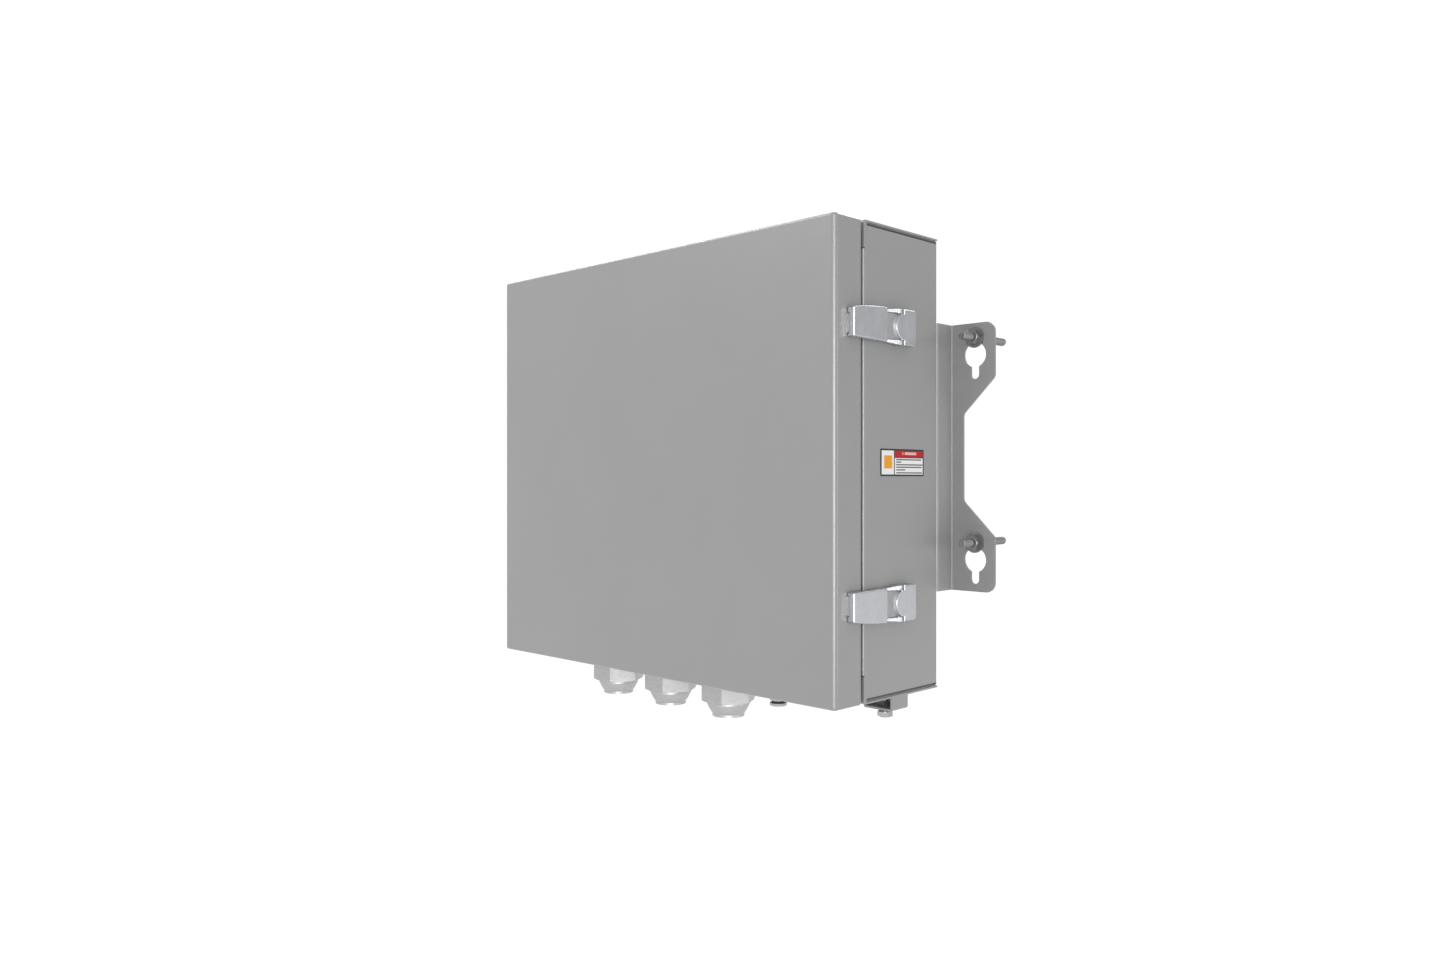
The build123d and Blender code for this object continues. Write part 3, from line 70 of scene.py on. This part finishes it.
class Recipe:
    """A node material under construction around one Principled shader."""

    def __init__(self, name, colour, roughness, metallic=0.0):
        self.material = bpy.data.materials.new(name)
        self.material.use_nodes = True
        self.tree = self.material.node_tree
        self.shader = self.tree.nodes["Principled BSDF"]
        self.shader.inputs["Base Color"].default_value = (*colour, 1)
        self.shader.inputs["Roughness"].default_value = roughness
        self.shader.inputs["Metallic"].default_value = metallic
        self.colour = colour
        self.base = None
        self.place = self.tree.nodes.new("ShaderNodeTexCoord")

    def node(self, kind, **values):
        made = self.tree.nodes.new("ShaderNode" + kind)
        for key, value in values.items():
            if key in made.inputs:
                made.inputs[key].default_value = value
            else:
                setattr(made, key, value)
        return made

    def link(self, source, target):
        self.tree.links.new(source, target)

    def noise(self, scale, detail=2.0, stretch=(1, 1, 1)):
        mapping = self.node("Mapping")
        mapping.inputs["Scale"].default_value = stretch
        self.link(self.place.outputs["Object"], mapping.inputs["Vector"])
        made = self.node("TexNoise", Scale=scale, Detail=detail, Roughness=0.5)
        self.link(mapping.outputs["Vector"], made.inputs["Vector"])
        return made.outputs["Fac"]

    def spread(self, source, low, high):
        """The middle of a noise's range, drawn out to run from low to high."""
        made = self.node("MapRange")
        made.inputs["From Min"].default_value = 0.3
        made.inputs["From Max"].default_value = 0.7
        made.inputs["To Min"].default_value = low
        made.inputs["To Max"].default_value = high
        self.link(source, made.inputs["Value"])
        return made.outputs["Result"]

    def tint(self, source, change):
        """Varies the base colour by plus and minus change along the source."""
        mix = self.node("Mix", data_type="RGBA")
        mix.inputs["A"].default_value = (*[c * (1 - change) for c in self.colour], 1)
        mix.inputs["B"].default_value = (*[min(1.0, c * (1 + change)) for c in self.colour], 1)
        self.link(self.spread(source, 0.0, 1.0), mix.inputs["Factor"])
        self.base = mix.outputs["Result"]
        self.link(self.base, self.shader.inputs["Base Color"])

    def axes(self):
        split = self.node("SeparateXYZ")
        self.link(self.place.outputs["Object"], split.inputs[0])
        return split.outputs

    def maths(self, operation, first, second):
        made = self.node("Math", operation=operation)
        for socket, value in zip(made.inputs, (first, second)):
            if isinstance(value, (int, float)):
                socket.default_value = value
            else:
                self.link(value, socket)
        return made.outputs[0]

    def between(self, value, low, high):
        """1 where the value lies from low to high, else 0."""
        above = self.maths("GREATER_THAN", value, low)
        below = self.maths("LESS_THAN", value, high)
        return self.maths("MULTIPLY", above, below)

    def both(self, first, second):
        return self.maths("MULTIPLY", first, second)

    def cover(self, mask, colour):
        """Lays a colour over the base wherever the mask is 1."""
        mix = self.node("Mix", data_type="RGBA")
        self.link(self.base, mix.inputs["A"])
        mix.inputs["B"].default_value = (*colour, 1)
        self.link(mask, mix.inputs["Factor"])
        self.base = mix.outputs["Result"]
        self.link(self.base, self.shader.inputs["Base Color"])

    def bump(self, source, distance, strength=1.0):
        made = self.node("Bump", Strength=strength, Distance=distance)
        self.link(source, made.inputs["Height"])
        self.link(made.outputs["Normal"], self.shader.inputs["Normal"])

    def roughen(self, source, low, high):
        self.link(self.spread(source, low, high), self.shader.inputs["Roughness"])


def powder_coat(name, colour, roughness):
    """Recipe of an orange-peel powder coat: a millimetre grain and a faint cloud in its tone."""
    recipe = Recipe(name, colour, roughness)
    recipe.shader.inputs["Specular IOR Level"].default_value = 0.8
    recipe.tint(recipe.noise(9.0, 3.0), 0.015)
    recipe.roughen(recipe.noise(40.0, 2.0), roughness - 0.03, roughness + 0.03)
    recipe.bump(recipe.noise(900.0, 1.0), 0.00003, 0.25)
    return recipe


# The grooves along the end plates: where they start behind the body's front edge, and how far
# from the top and bottom they run
seam_start = 5 * millimetre
seam_near = 1.8 * millimetre
seam_far = 4 * millimetre
# near-black painted shade for the grooves, which stands in for the shade that falls in them
groove_shade_colour = (0.012, 0.012, 0.012)


def groove_shaded_coat(name, colour, roughness, body_low, body_high):
    """Powder coat, with painted shade: near-black laid into the grooves along the end plates."""
    recipe = powder_coat(name, colour, roughness)
    axes = recipe.axes()
    behind_front = recipe.maths("GREATER_THAN", axes["Y"], body_low[1] + seam_start)
    # painted shade: near-black over the coat in each groove, one near the top and one near the bottom
    for near, far in (
        (body_low[2] + seam_near, body_low[2] + seam_far),
        (body_high[2] - seam_far, body_high[2] - seam_near),
    ):
        recipe.cover(recipe.both(behind_front, recipe.between(axes["Z"], near, far)), groove_shade_colour)
    return recipe.material


def cast_metal(name, colour, roughness, metallic):
    """Die-cast zinc with a satin finish: fine grain and a slightly uneven sheen."""
    recipe = Recipe(name, colour, roughness, metallic)
    recipe.tint(recipe.noise(160.0, 3.0), 0.03)
    recipe.roughen(recipe.noise(70.0, 3.0), roughness - 0.06, roughness + 0.08)
    recipe.bump(recipe.noise(1400.0, 2.0), 0.00003, 0.4)
    return recipe.material


def plated(name, colour, roughness, stretch=(1, 1, 1), metallic=1.0, change=0.04):
    """Plated metal; a stretched noise gives the direction that it was turned or rolled in."""
    recipe = Recipe(name, colour, roughness, metallic)
    recipe.tint(recipe.noise(220.0, 2.0, stretch), change)
    recipe.roughen(recipe.noise(120.0, 2.0, stretch), roughness * 0.8, roughness * 1.25)
    recipe.bump(recipe.noise(700.0, 2.0, stretch), 0.00001, 0.08)
    return recipe.material


def moulded(name, colour, roughness=0.45):
    """Moulded plastic with a spark-eroded grain."""
    recipe = Recipe(name, colour, roughness)
    recipe.tint(recipe.noise(30.0, 2.0), 0.03)
    recipe.roughen(recipe.noise(60.0, 2.0), roughness - 0.05, roughness + 0.06)
    recipe.bump(recipe.noise(1800.0, 1.0), 0.00003, 0.5)
    return recipe.material


def rubber(name, colour):
    """Matt rubber with a coarse grain."""
    recipe = Recipe(name, colour, 0.75)
    recipe.tint(recipe.noise(300.0, 3.0), 0.15)
    recipe.bump(recipe.noise(1500.0, 3.0), 0.00008, 0.7)
    return recipe.material


def banded(name, body, ends, low, high):
    """Ceramic fuse body with metal caps beyond two heights, low and high, in metres."""
    recipe = Recipe(name, body, 0.3)
    recipe.roughen(recipe.noise(200.0), 0.25, 0.35)
    recipe.tint(recipe.noise(60.0), 0.04)
    middle = recipe.maths("SUBTRACT", recipe.axes()["Z"], (low + high) / 2)
    capped = recipe.maths("GREATER_THAN", recipe.maths("ABSOLUTE", middle, 0.0), (high - low) / 2)
    recipe.cover(capped, ends)
    recipe.link(capped, recipe.shader.inputs["Metallic"])
    recipe.bump(recipe.noise(900.0), 0.00002, 0.3)
    return recipe.material


def printed_label(name, low, high):
    """White film with a dark frame, an amber block, a red band, and grey bars in place of text."""
    recipe = Recipe(name, (0.8, 0.8, 0.8), 0.45)
    recipe.shader.inputs["Specular IOR Level"].default_value = 0.3
    recipe.tint(recipe.noise(60.0), 0.02)
    axes = recipe.axes()
    across = recipe.maths("MULTIPLY", recipe.maths("SUBTRACT", axes["Y"], low[1]), 1 / (high[1] - low[1]))
    up = recipe.maths("MULTIPLY", recipe.maths("SUBTRACT", axes["Z"], low[2]), 1 / (high[2] - low[2]))
    ink = (0.02, 0.02, 0.025)
    red = (0.45, 0.0, 0.01)
    grey = (0.09, 0.09, 0.09)
    # left, right, bottom and top as shares of the label's width and height, and the colour
    blocks = [
        (0.32, 0.99, 0.70, 0.98, red),
        (0.55, 0.82, 0.79, 0.89, (0.75, 0.45, 0.45)),
        (0.49, 0.52, 0.79, 0.89, (0.75, 0.35, 0.02)),
        (0.08, 0.26, 0.28, 0.76, (0.8, 0.33, 0.004)),
        (0.30, 0.32, 0.0, 1.0, ink),
        (0.30, 1.0, 0.67, 0.70, ink),
    ]
    text_start = 0.35
    below_row = 0.022
    above_row = 0.024
    text_rows = ((0.61, 0.94), (0.52, 0.47), (0.42, 0.97), (0.33, 0.95), (0.23, 0.56), (0.12, 0.96))
    blocks += [(text_start, end, row - below_row, row + above_row, grey) for row, end in text_rows]
    for left, right, bottom, top, colour in blocks:
        area = recipe.both(recipe.between(across, left, right), recipe.between(up, bottom, top))
        recipe.cover(area, colour)
    side_frame = 0.024
    end_frame = 0.06
    inside = recipe.both(
        recipe.between(across, side_frame, 1 - side_frame), recipe.between(up, end_frame, 1 - end_frame)
    )
    recipe.cover(recipe.maths("SUBTRACT", 1.0, inside), ink)
    recipe.roughen(recipe.noise(80.0), 0.4, 0.5)
    recipe.bump(recipe.noise(500.0), 0.00001, 0.2)
    return recipe.material


fuse_low, fuse_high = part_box("fuse_links_1")
fuse_cap = 10 * millimetre
finish = {
    "painted_sheet": groove_shaded_coat("grey_powder_coat", (0.28, 0.28, 0.28), 0.36, *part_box("body_shell")),
    "seal_rubber": rubber("black_seal_rubber", (0.02, 0.02, 0.02)),
    "zinc_steel": plated("zinc_plated_steel", (0.22, 0.22, 0.22), 0.36, (1, 1, 1), 0.75),
    "die_cast": cast_metal("satin_die_cast_zinc", (0.47, 0.48, 0.505), 0.3, 0.8),
    "nickel_brass": plated("nickel_plated_brass", (0.45, 0.45, 0.45), 0.5, (1, 1, 3), 1.0, 0.02),
    "label_film": printed_label("label_film", *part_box("side_label")),
    "light_plastic": moulded("light_grey_moulding", (0.5, 0.51, 0.5)),
    "dark_plastic": moulded("black_moulding", (0.025, 0.025, 0.027)),
    "ceramic_link": banded(
        "capped_ceramic", (0.8, 0.78, 0.72), (0.7, 0.7, 0.7), fuse_low[2] + fuse_cap, fuse_high[2] - fuse_cap
    ),
    "red_plastic": moulded("red_moulding", (0.45, 0.03, 0.02), 0.35),
    "insulator_red": moulded("brick_red_thermoset", (0.3, 0.035, 0.02), 0.5),
    "copper_bar": plated("bare_copper", (0.8, 0.42, 0.28), 0.3, (0.2, 1, 3)),
    "brass_bar": plated("drawn_brass", (0.78, 0.6, 0.3), 0.28, (0.2, 1, 3)),
}

slots = {entry["node"]: entry["material_slot"] for entry in frame["record"]["subparts"]}
for name, obj in nodes.items():
    material = finish[slots[name]]
    for holder in obj.material_slots:
        holder.material = material
    if not obj.material_slots:
        obj.data.materials.append(material)

bright_zinc = plated("bright_zinc_bolt", (0.36, 0.36, 0.36), 0.16)
rough_casting = plated("rough_casting", (0.34, 0.34, 0.35), 0.6, (1, 1, 1), 0.6)
shade_darkened_steel = plated("shade_darkened_steel", (0.1, 0.1, 0.1), 0.45, (1, 1, 1), 0.6)
# painted shade: the earth nut and washers get near-black steel to stand for the shade inside the earth
# bracket
for holder in nodes["earth_nut_and_washers"].material_slots:
    holder.material = shade_darkened_steel

# ---------------------------------------------------------------- fasteners and device details


def mesh_from(build, name):
    """Mesh of a finished bmesh, which is freed."""
    mesh = bpy.data.meshes.new(name)
    build.normal_update()
    build.to_mesh(mesh)
    build.free()
    return mesh


def lathe(profile, segments=32):
    """Closed solid turned about Z from (radius, height) points that start and end on the axis."""
    build = bmesh.new()
    rings = []
    for radius, height in profile:
        if radius == 0:
            rings.append([build.verts.new((0, 0, height))])
            continue
        turns = [2 * pi * step / segments for step in range(segments)]
        rings.append([build.verts.new((radius * cos(t), radius * sin(t), height)) for t in turns])
    for lower, upper in zip(rings, rings[1:]):
        for step in range(segments):
            after = (step + 1) % segments
            if len(lower) == 1:
                build.faces.new((lower[0], upper[after], upper[step]))
            elif len(upper) == 1:
                build.faces.new((lower[step], lower[after], upper[0]))
            else:
                build.faces.new((lower[step], lower[after], upper[after], upper[step]))
    return build


def dome_profile(radius, height, edge):
    """Head with a rounded rim, seated at height 0."""
    arc = [radians(angle) for angle in (0, 30, 60, 90)]
    rim = [(radius - edge + edge * cos(a), height - edge + edge * sin(a)) for a in arc]
    return [(0, 0), (radius, 0), *rim, (0, height)]


def slotted_head(radius, height, slot_width, slot_depth):
    """Screw head with a rounded rim and a driver slot cut across it."""
    rim = height * 0.35
    head = bpy.data.objects.new("head", mesh_from(lathe(dome_profile(radius, height, rim)), "head"))
    build = bmesh.new()
    bmesh.ops.create_cube(build, size=1)
    bmesh.ops.scale(build, vec=(slot_width, 3 * radius, 2 * slot_depth), verts=build.verts)
    bmesh.ops.translate(build, vec=(0, 0, height), verts=build.verts)
    cutter = bpy.data.objects.new("cutter", mesh_from(build, "cutter"))
    for obj in (head, cutter):
        bpy.context.scene.collection.objects.link(obj)
    cut = head.modifiers.new("slot", "BOOLEAN")
    cut.operation = "DIFFERENCE"
    cut.solver = "EXACT"
    cut.object = cutter
    ready = head.evaluated_get(bpy.context.evaluated_depsgraph_get())
    mesh = bpy.data.meshes.new_from_object(ready)
    for obj in (head, cutter):
        bpy.data.objects.remove(obj)
    return mesh


def hex_bolt(across, height, seat_radius, seat, shank_radius=0.0, shank=0.0):
    """Bolt along Z: chamfered hexagon head on a round seat, and a shank below height 0 where one shows."""
    outline = [(0, -shank), (shank_radius, -shank), (shank_radius, 0)] if shank else [(0, 0)]
    build = lathe([*outline, (seat_radius, 0), (seat_radius, seat), (0, seat)])
    corner = across / (2 * cos(pi / 6))
    chamfer = height * 0.12
    face = across / 2 * 0.96
    turns = [pi * k / 3 for k in range(6)]
    rings = []
    for radius, z in ((corner, seat), (corner, seat + height - chamfer), (face, seat + height)):
        rings.append([build.verts.new((radius * cos(t), radius * sin(t), z)) for t in turns])
    for lower, upper in zip(rings, rings[1:]):
        for k in range(6):
            build.faces.new((lower[k], lower[(k + 1) % 6], upper[(k + 1) % 6], upper[k]))
    build.faces.new(rings[-1])
    build.faces.new(rings[0][::-1])
    return mesh_from(build, "hex_bolt")


def threaded_rod(length, major, pitch, depth, segments=18, per_turn=5):
    """Rod along Z with a helical thread and a bevel at each end; major is its outer radius."""
    bevel = 1 * millimetre
    build = bmesh.new()
    count = int(length / pitch * per_turn)
    rings = []
    for level in range(count + 1):
        z = length * level / count
        to_end = min(z, length - z)
        ring = []
        for step in range(segments):
            turn = step / segments
            phase = (z / pitch - turn) % 1.0
            radius = major - depth * abs(2 * phase - 1)
            radius = min(radius, major - bevel + to_end)
            ring.append(build.verts.new((radius * cos(2 * pi * turn), radius * sin(2 * pi * turn), z)))
        rings.append(ring)
    for lower, upper in zip(rings, rings[1:]):
        for step in range(segments):
            after = (step + 1) % segments
            build.faces.new((lower[step], lower[after], upper[after], upper[step]))
    build.faces.new(rings[0][::-1])
    build.faces.new(rings[-1])
    return mesh_from(build, "threaded_rod")


def bevelled_block(name, size, edge, segments):
    """Block of a size in metres centred on the origin, with its edges bevelled."""
    build = bmesh.new()
    bmesh.ops.create_cube(build, size=1)
    bmesh.ops.scale(build, vec=size, verts=build.verts)
    bmesh.ops.bevel(build, geom=build.edges[:], offset=edge, segments=segments, affect="EDGES")
    return mesh_from(build, name)


def smooth_by_angle(mesh, angle=35):
    """Smooth shading, with the edges sharper than an angle in degrees kept sharp."""
    mesh.polygons.foreach_set("use_smooth", [True] * len(mesh.polygons))
    mesh.set_sharp_from_angle(angle=radians(angle))


def add_pieces(name, mesh, places, slot, body="enclosure", material=None):
    """One object of copies of a mesh, at each of the places (matrices), riding on a body."""
    build = bmesh.new()
    for place in places:
        before = len(build.verts)
        build.from_mesh(mesh)
        build.verts.ensure_lookup_table()
        bmesh.ops.transform(build, matrix=place, verts=build.verts[before:])
    joined = mesh_from(build, name)
    smooth_by_angle(joined)
    obj = bpy.data.objects.new(name, joined)
    obj.data.materials.append(material or finish[slot])
    bpy.context.scene.collection.objects.link(obj)
    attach(obj, body)
    return obj


def facing_front(x, y, z, spin=0.0):
    """Place whose local Z points to the front, -Y, turned by spin degrees about it."""
    upright = Matrix.Translation((x, y, z)) @ Matrix.Rotation(radians(90), 4, "X")
    return upright @ Matrix.Rotation(radians(spin), 4, "Z")


def front_of(node, x, z):
    """The y of the first surface of a node that a line from the front meets."""
    hit, spot, *_ = nodes[node].ray_cast(Vector((x, -1.0, z)), Vector((0, 1, 0)))
    if not hit:
        raise ValueError(f"nothing of {node} at {x:.4f}, {z:.4f}")
    return spot.y


bpy.context.view_layer.update()

# threads on the pole studs
stud_low, stud_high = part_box("pole_studs")
stud_radius = 5 * millimetre
thread_room = 0.25 * millimetre
stud_spots = [
    facing_front(x, stud_high[1], z)
    for x in (stud_low[0] + stud_radius, stud_high[0] - stud_radius)
    for z in (stud_low[2] + stud_radius, stud_high[2] - stud_radius)
]
rod = threaded_rod(
    length=stud_high[1] - stud_low[1],
    major=stud_radius - thread_room,
    pitch=1.5 * millimetre,
    depth=0.6 * millimetre,
)
threads = add_pieces("pole_stud_threads", rod, stud_spots, "zinc_steel")
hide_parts("pole_studs")

# the rounded front of each latch's pad runs down to its neck in a slope between the lever's arms
pad_radius = 14.6 * millimetre
pad_length = 22.2 * millimetre
pad_rim = 1.0 * millimetre
slope_reach = 1.8 * millimetre
neck_top = 6.8 * millimetre
neck_base = 3.9 * millimetre
neck_length = 13.6 * millimetre
neck_edge = 0.6 * millimetre
half_neck = 14.3 * millimetre
under_face = 0.1 * millimetre
arc_steps = 32
least_sine = 0.01


def pad_slope(pad_low, pad_high):
    """Crescent slope around the front of a latch pad and the raised neck before it, as one solid."""
    side = pad_low[0]
    centre_y = pad_high[1] - pad_length
    centre_z = (pad_low[2] + pad_high[2]) / 2
    front_y = centre_y - pad_radius - neck_length
    inner = pad_radius - pad_rim
    widest = asin(half_neck / pad_radius)
    build = bmesh.new()
    rows = []
    for step in range(arc_steps + 1):
        turn = widest * (2 * step / arc_steps - 1)
        outer = min(pad_radius + slope_reach, half_neck / max(abs(sin(turn)), least_sine))
        inner_y = centre_y - inner * cos(turn)
        inner_z = centre_z + inner * sin(turn)
        outer_z = centre_z + outer * sin(turn)
        corners = (
            (pad_high[0] - under_face, inner_y, inner_z),
            (side + neck_top, centre_y - outer * cos(turn), outer_z),
            (side + neck_top, front_y + neck_edge, outer_z),
            (side + neck_top - neck_edge, front_y, outer_z),
            (side + neck_base, front_y, outer_z),
            (side + neck_base, inner_y, inner_z),
        )
        rows.append([build.verts.new(corner) for corner in corners])
    count = len(rows[0])
    for before, after in zip(rows, rows[1:]):
        for k in range(count):
            build.faces.new((before[k], before[(k + 1) % count], after[(k + 1) % count], after[k]))
    build.faces.new(rows[0])
    build.faces.new(rows[-1][::-1])
    bmesh.ops.recalc_face_normals(build, faces=build.faces)
    return mesh_from(build, "pad_slope")


for side in ("upper", "lower"):
    slope = pad_slope(*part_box(f"latch_{side}_base"))
    add_pieces(f"latch_{side}_pad_slope", slope, [Matrix.Identity(4)], "die_cast", material=rough_casting)

# terminal screws of the fuse holders, two poles each, above and below the carriers
terminal_screw = slotted_head(3.2 * millimetre, 1.6 * millimetre, 0.9 * millimetre, 0.9 * millimetre)
spots = []
base_low, base_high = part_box("fuse_holder_bases")
pole_half_pitch = 9 * millimetre
holder_inset = 7 * millimetre
spin_each_holder = 20
spin_each_metre = 7000
for number in range(1, 5):
    carrier_low, carrier_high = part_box(f"fuse_carrier_{number}")
    centre = (carrier_low[0] + carrier_high[0]) / 2
    for x in (centre - pole_half_pitch, centre + pole_half_pitch):
        spin = spin_each_holder * number + spin_each_metre * x
        for z in (base_high[2] - holder_inset, base_low[2] + holder_inset):
            spots.append(facing_front(x, front_of("fuse_holder_bases", x, z), z, spin))

# the surge arrester's, one pole to a module
surge_low, surge_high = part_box("surge_arrester_base")
surge_poles = 3
surge_inset = 8 * millimetre
for pole in range(surge_poles):
    x = surge_low[0] + (surge_high[0] - surge_low[0]) * (pole + 0.5) / surge_poles
    for z in (surge_high[2] - surge_inset, surge_low[2] + surge_inset):
        spots.append(facing_front(x, front_of("surge_arrester_base", x, z), z, 35 + 40 * pole))
add_pieces("terminal_screws", terminal_screw, spots, "zinc_steel")

# the isolator's larger ones, four along each step
isolator_low, isolator_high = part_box("isolator_body")
isolator_ways = 4
isolator_inset = 12 * millimetre
main_screw = slotted_head(4.6 * millimetre, 2.2 * millimetre, 1.2 * millimetre, 1.3 * millimetre)
spots = []
for way in range(isolator_ways):
    x = isolator_low[0] + (isolator_high[0] - isolator_low[0]) * (way + 0.5) / isolator_ways
    for z in (isolator_high[2] - isolator_inset, isolator_low[2] + isolator_inset):
        spots.append(facing_front(x, front_of("isolator_body", x, z), z, 25 + 50 * way))
add_pieces("isolator_terminal_screws", main_screw, spots, "zinc_steel")

# bolts through the busbars' holes, and screws along the earth bar
bolt = hex_bolt(13 * millimetre, 5.3 * millimetre, 8 * millimetre, 1.6 * millimetre)
spots = []
busbar_ways = 5
busbar_pitch = 38 * millimetre
for node in ("positive_busbar", "negative_busbar"):
    bar_low, bar_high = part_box(node)
    for way in range(busbar_ways):
        x = (bar_low[0] + bar_high[0]) / 2 + (way - (busbar_ways - 1) / 2) * busbar_pitch
        spots.append(facing_front(x, bar_low[1], (bar_low[2] + bar_high[2]) / 2, 11 + 17 * way))
add_pieces("busbar_bolts", bolt, spots, "zinc_steel")

earth_low, earth_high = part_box("earth_bar")
earth_ways = 9
earth_pitch = 17 * millimetre
earth_screw = slotted_head(4.0 * millimetre, 2.4 * millimetre, 1.1 * millimetre, 1.4 * millimetre)
spots = []
for way in range(earth_ways):
    x = (earth_low[0] + earth_high[0]) / 2 + (way - (earth_ways - 1) / 2) * earth_pitch
    spots.append(facing_front(x, earth_low[1], (earth_low[2] + earth_high[2]) / 2, 31 * way))
add_pieces("earth_bar_screws", earth_screw, spots, "brass_bar")

# the earthing bolt hangs head down, with a corner of its head to the front
bolt_low, bolt_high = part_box("earth_bolt")
bolt_x = (bolt_low[0] + bolt_high[0]) / 2
bolt_y = (bolt_low[1] + bolt_high[1]) / 2
head_height = 6.4 * millimetre
bolt_seat = 0.4 * millimetre
bolt = hex_bolt(
    across=15 * millimetre,
    height=head_height - bolt_seat,
    seat_radius=7 * millimetre,
    seat=bolt_seat,
    shank_radius=4 * millimetre,
    shank=bolt_high[2] - bolt_low[2] - head_height,
)
hanging = Matrix.Translation((bolt_x, bolt_y, bolt_low[2] + head_height)) @ Matrix.Rotation(pi, 4, "X")
hanging = hanging @ Matrix.Rotation(radians(30), 4, "Z")
earth_bolt = add_pieces("earthing_bolt", bolt, [hanging], "zinc_steel", material=bright_zinc)
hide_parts("earth_bolt")

# a status window in each surge module
module_low, module_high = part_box("surge_modules")
window_size = (6 * millimetre, 4 * millimetre, 0.8 * millimetre)
window = bevelled_block("window", window_size, 0.3 * millimetre, 2)
window_inset = 9 * millimetre
spots = []
for pole in range(surge_poles):
    x = module_low[0] + (module_high[0] - module_low[0]) * (pole + 0.5) / surge_poles
    z = module_high[2] - window_inset
    spots.append(facing_front(x, front_of("surge_modules", x, z), z))
green_window = moulded("green_window", (0.03, 0.35, 0.08), 0.2)
add_pieces("surge_status_windows", window, spots, "light_plastic", material=green_window)

# a mark on the isolator each quarter turn of its handle
handle_low, handle_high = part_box("isolator_handle")
dial_x = (handle_low[0] + handle_high[0]) / 2
dial_z = (handle_low[2] + handle_high[2]) / 2
mark_radius = 29 * millimetre
clear_of_handle = 30 * millimetre
dial_y = front_of("isolator_body", dial_x + clear_of_handle, dial_z)
mark_size = (1.6 * millimetre, 5 * millimetre, 0.6 * millimetre)
mark = bevelled_block("mark", mark_size, 0.2 * millimetre, 1)
spots = []
for quarter in range(4):
    turn = pi / 2 * quarter
    x = dial_x + mark_radius * sin(turn)
    z = dial_z + mark_radius * cos(turn)
    spots.append(facing_front(x, dial_y, z, -90 * quarter))
add_pieces("isolator_dial_marks", mark, spots, "dark_plastic")

# ---------------------------------------------------------------- light, floor and camera

low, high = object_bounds()
middle = (Vector(low) + Vector(high)) / 2

sky_strength = 1.05
dark_quarter = 0.55
floor_size = 40
floor_drop = 0.6

world = bpy.data.worlds.new("studio")
world.use_nodes = True
backdrop = world.node_tree.nodes["Background"]
backdrop.inputs["Strength"].default_value = sky_strength
direction = world.node_tree.nodes.new("ShaderNodeTexCoord")
toward_light = world.node_tree.nodes.new("ShaderNodeVectorMath")
toward_light.operation = "DOT_PRODUCT"
toward_light.inputs[1].default_value = (-0.7, -0.7, 0.0)
shade = world.node_tree.nodes.new("ShaderNodeMapRange")
shade.inputs["From Min"].default_value = -1.0
shade.inputs["From Max"].default_value = -0.4
shade.inputs["To Min"].default_value = dark_quarter
shade.inputs["To Max"].default_value = 1.0
world.node_tree.links.new(direction.outputs["Generated"], toward_light.inputs[0])
world.node_tree.links.new(toward_light.outputs["Value"], shade.inputs["Value"])
# the background itself shows plain white; the darker quarter at the right and back only lights the object
path = world.node_tree.nodes.new("ShaderNodeLightPath")
seen = world.node_tree.nodes.new("ShaderNodeMath")
seen.operation = "MAXIMUM"
world.node_tree.links.new(shade.outputs["Result"], seen.inputs[0])
world.node_tree.links.new(path.outputs["Is Camera Ray"], seen.inputs[1])
world.node_tree.links.new(seen.outputs[0], backdrop.inputs["Color"])
bpy.context.scene.world = world

bpy.ops.mesh.primitive_plane_add(size=floor_size, location=(0, 0, low[2] - floor_drop))
floor = bpy.context.object
floor.name = "studio_floor"
floor_paint = Recipe("pale_floor", (0.97, 0.97, 0.97), 0.9)
floor_paint.shader.inputs["Emission Color"].default_value = (1, 1, 1, 1)
floor_paint.shader.inputs["Emission Strength"].default_value = 0.1
floor_paint.tint(floor_paint.noise(0.5), 0.01)
floor.data.materials.append(floor_paint.material)


def soft_light(name, bearing, rise, distance, width, tall, power):
    """Softbox aimed at the middle that only gives reflections; bearing (from +X) and rise in degrees."""
    turn = radians(bearing)
    lift = radians(rise)
    lamp = bpy.data.lights.new(name, "AREA")
    lamp.shape = "RECTANGLE"
    lamp.size = width
    lamp.size_y = tall
    lamp.energy = power
    obj = bpy.data.objects.new(name, lamp)
    away = Vector((cos(lift) * cos(turn), cos(lift) * sin(turn), sin(lift)))
    obj.location = middle + distance * away
    obj.rotation_euler = (-away).to_track_quat("-Z", "Y").to_euler()
    obj.visible_diffuse = False
    obj.visible_camera = False
    bpy.context.scene.collection.objects.link(obj)


# bearing, rise, distance, width and height in metres, power in watts
soft_light("key_strip", -46, 1, 2.3, 0.7, 1.4, 45)
soft_light("front_high", -124, 38, 2.5, 0.7, 0.8, 16)
soft_light("back_high", 90, 44, 2.5, 1.2, 0.6, 24)
soft_light("left_high", 178, 50, 2.5, 0.6, 0.8, 16)
soft_light("side_strip", 19, 0, 2.5, 0.25, 1.4, 8)

camera_data = bpy.data.cameras.new("camera")
camera_data.sensor_width = 36.0
camera_data.lens = 27.016
camera_data.clip_start = 0.01
camera = bpy.data.objects.new("camera", camera_data)
camera.location = (1.0082, -1.1036, -0.0452)
camera.rotation_euler = (radians(90), 0, radians(44.679))
bpy.context.scene.collection.objects.link(camera)
bpy.context.scene.camera = camera
bpy.context.scene.view_settings.view_transform = "Standard"
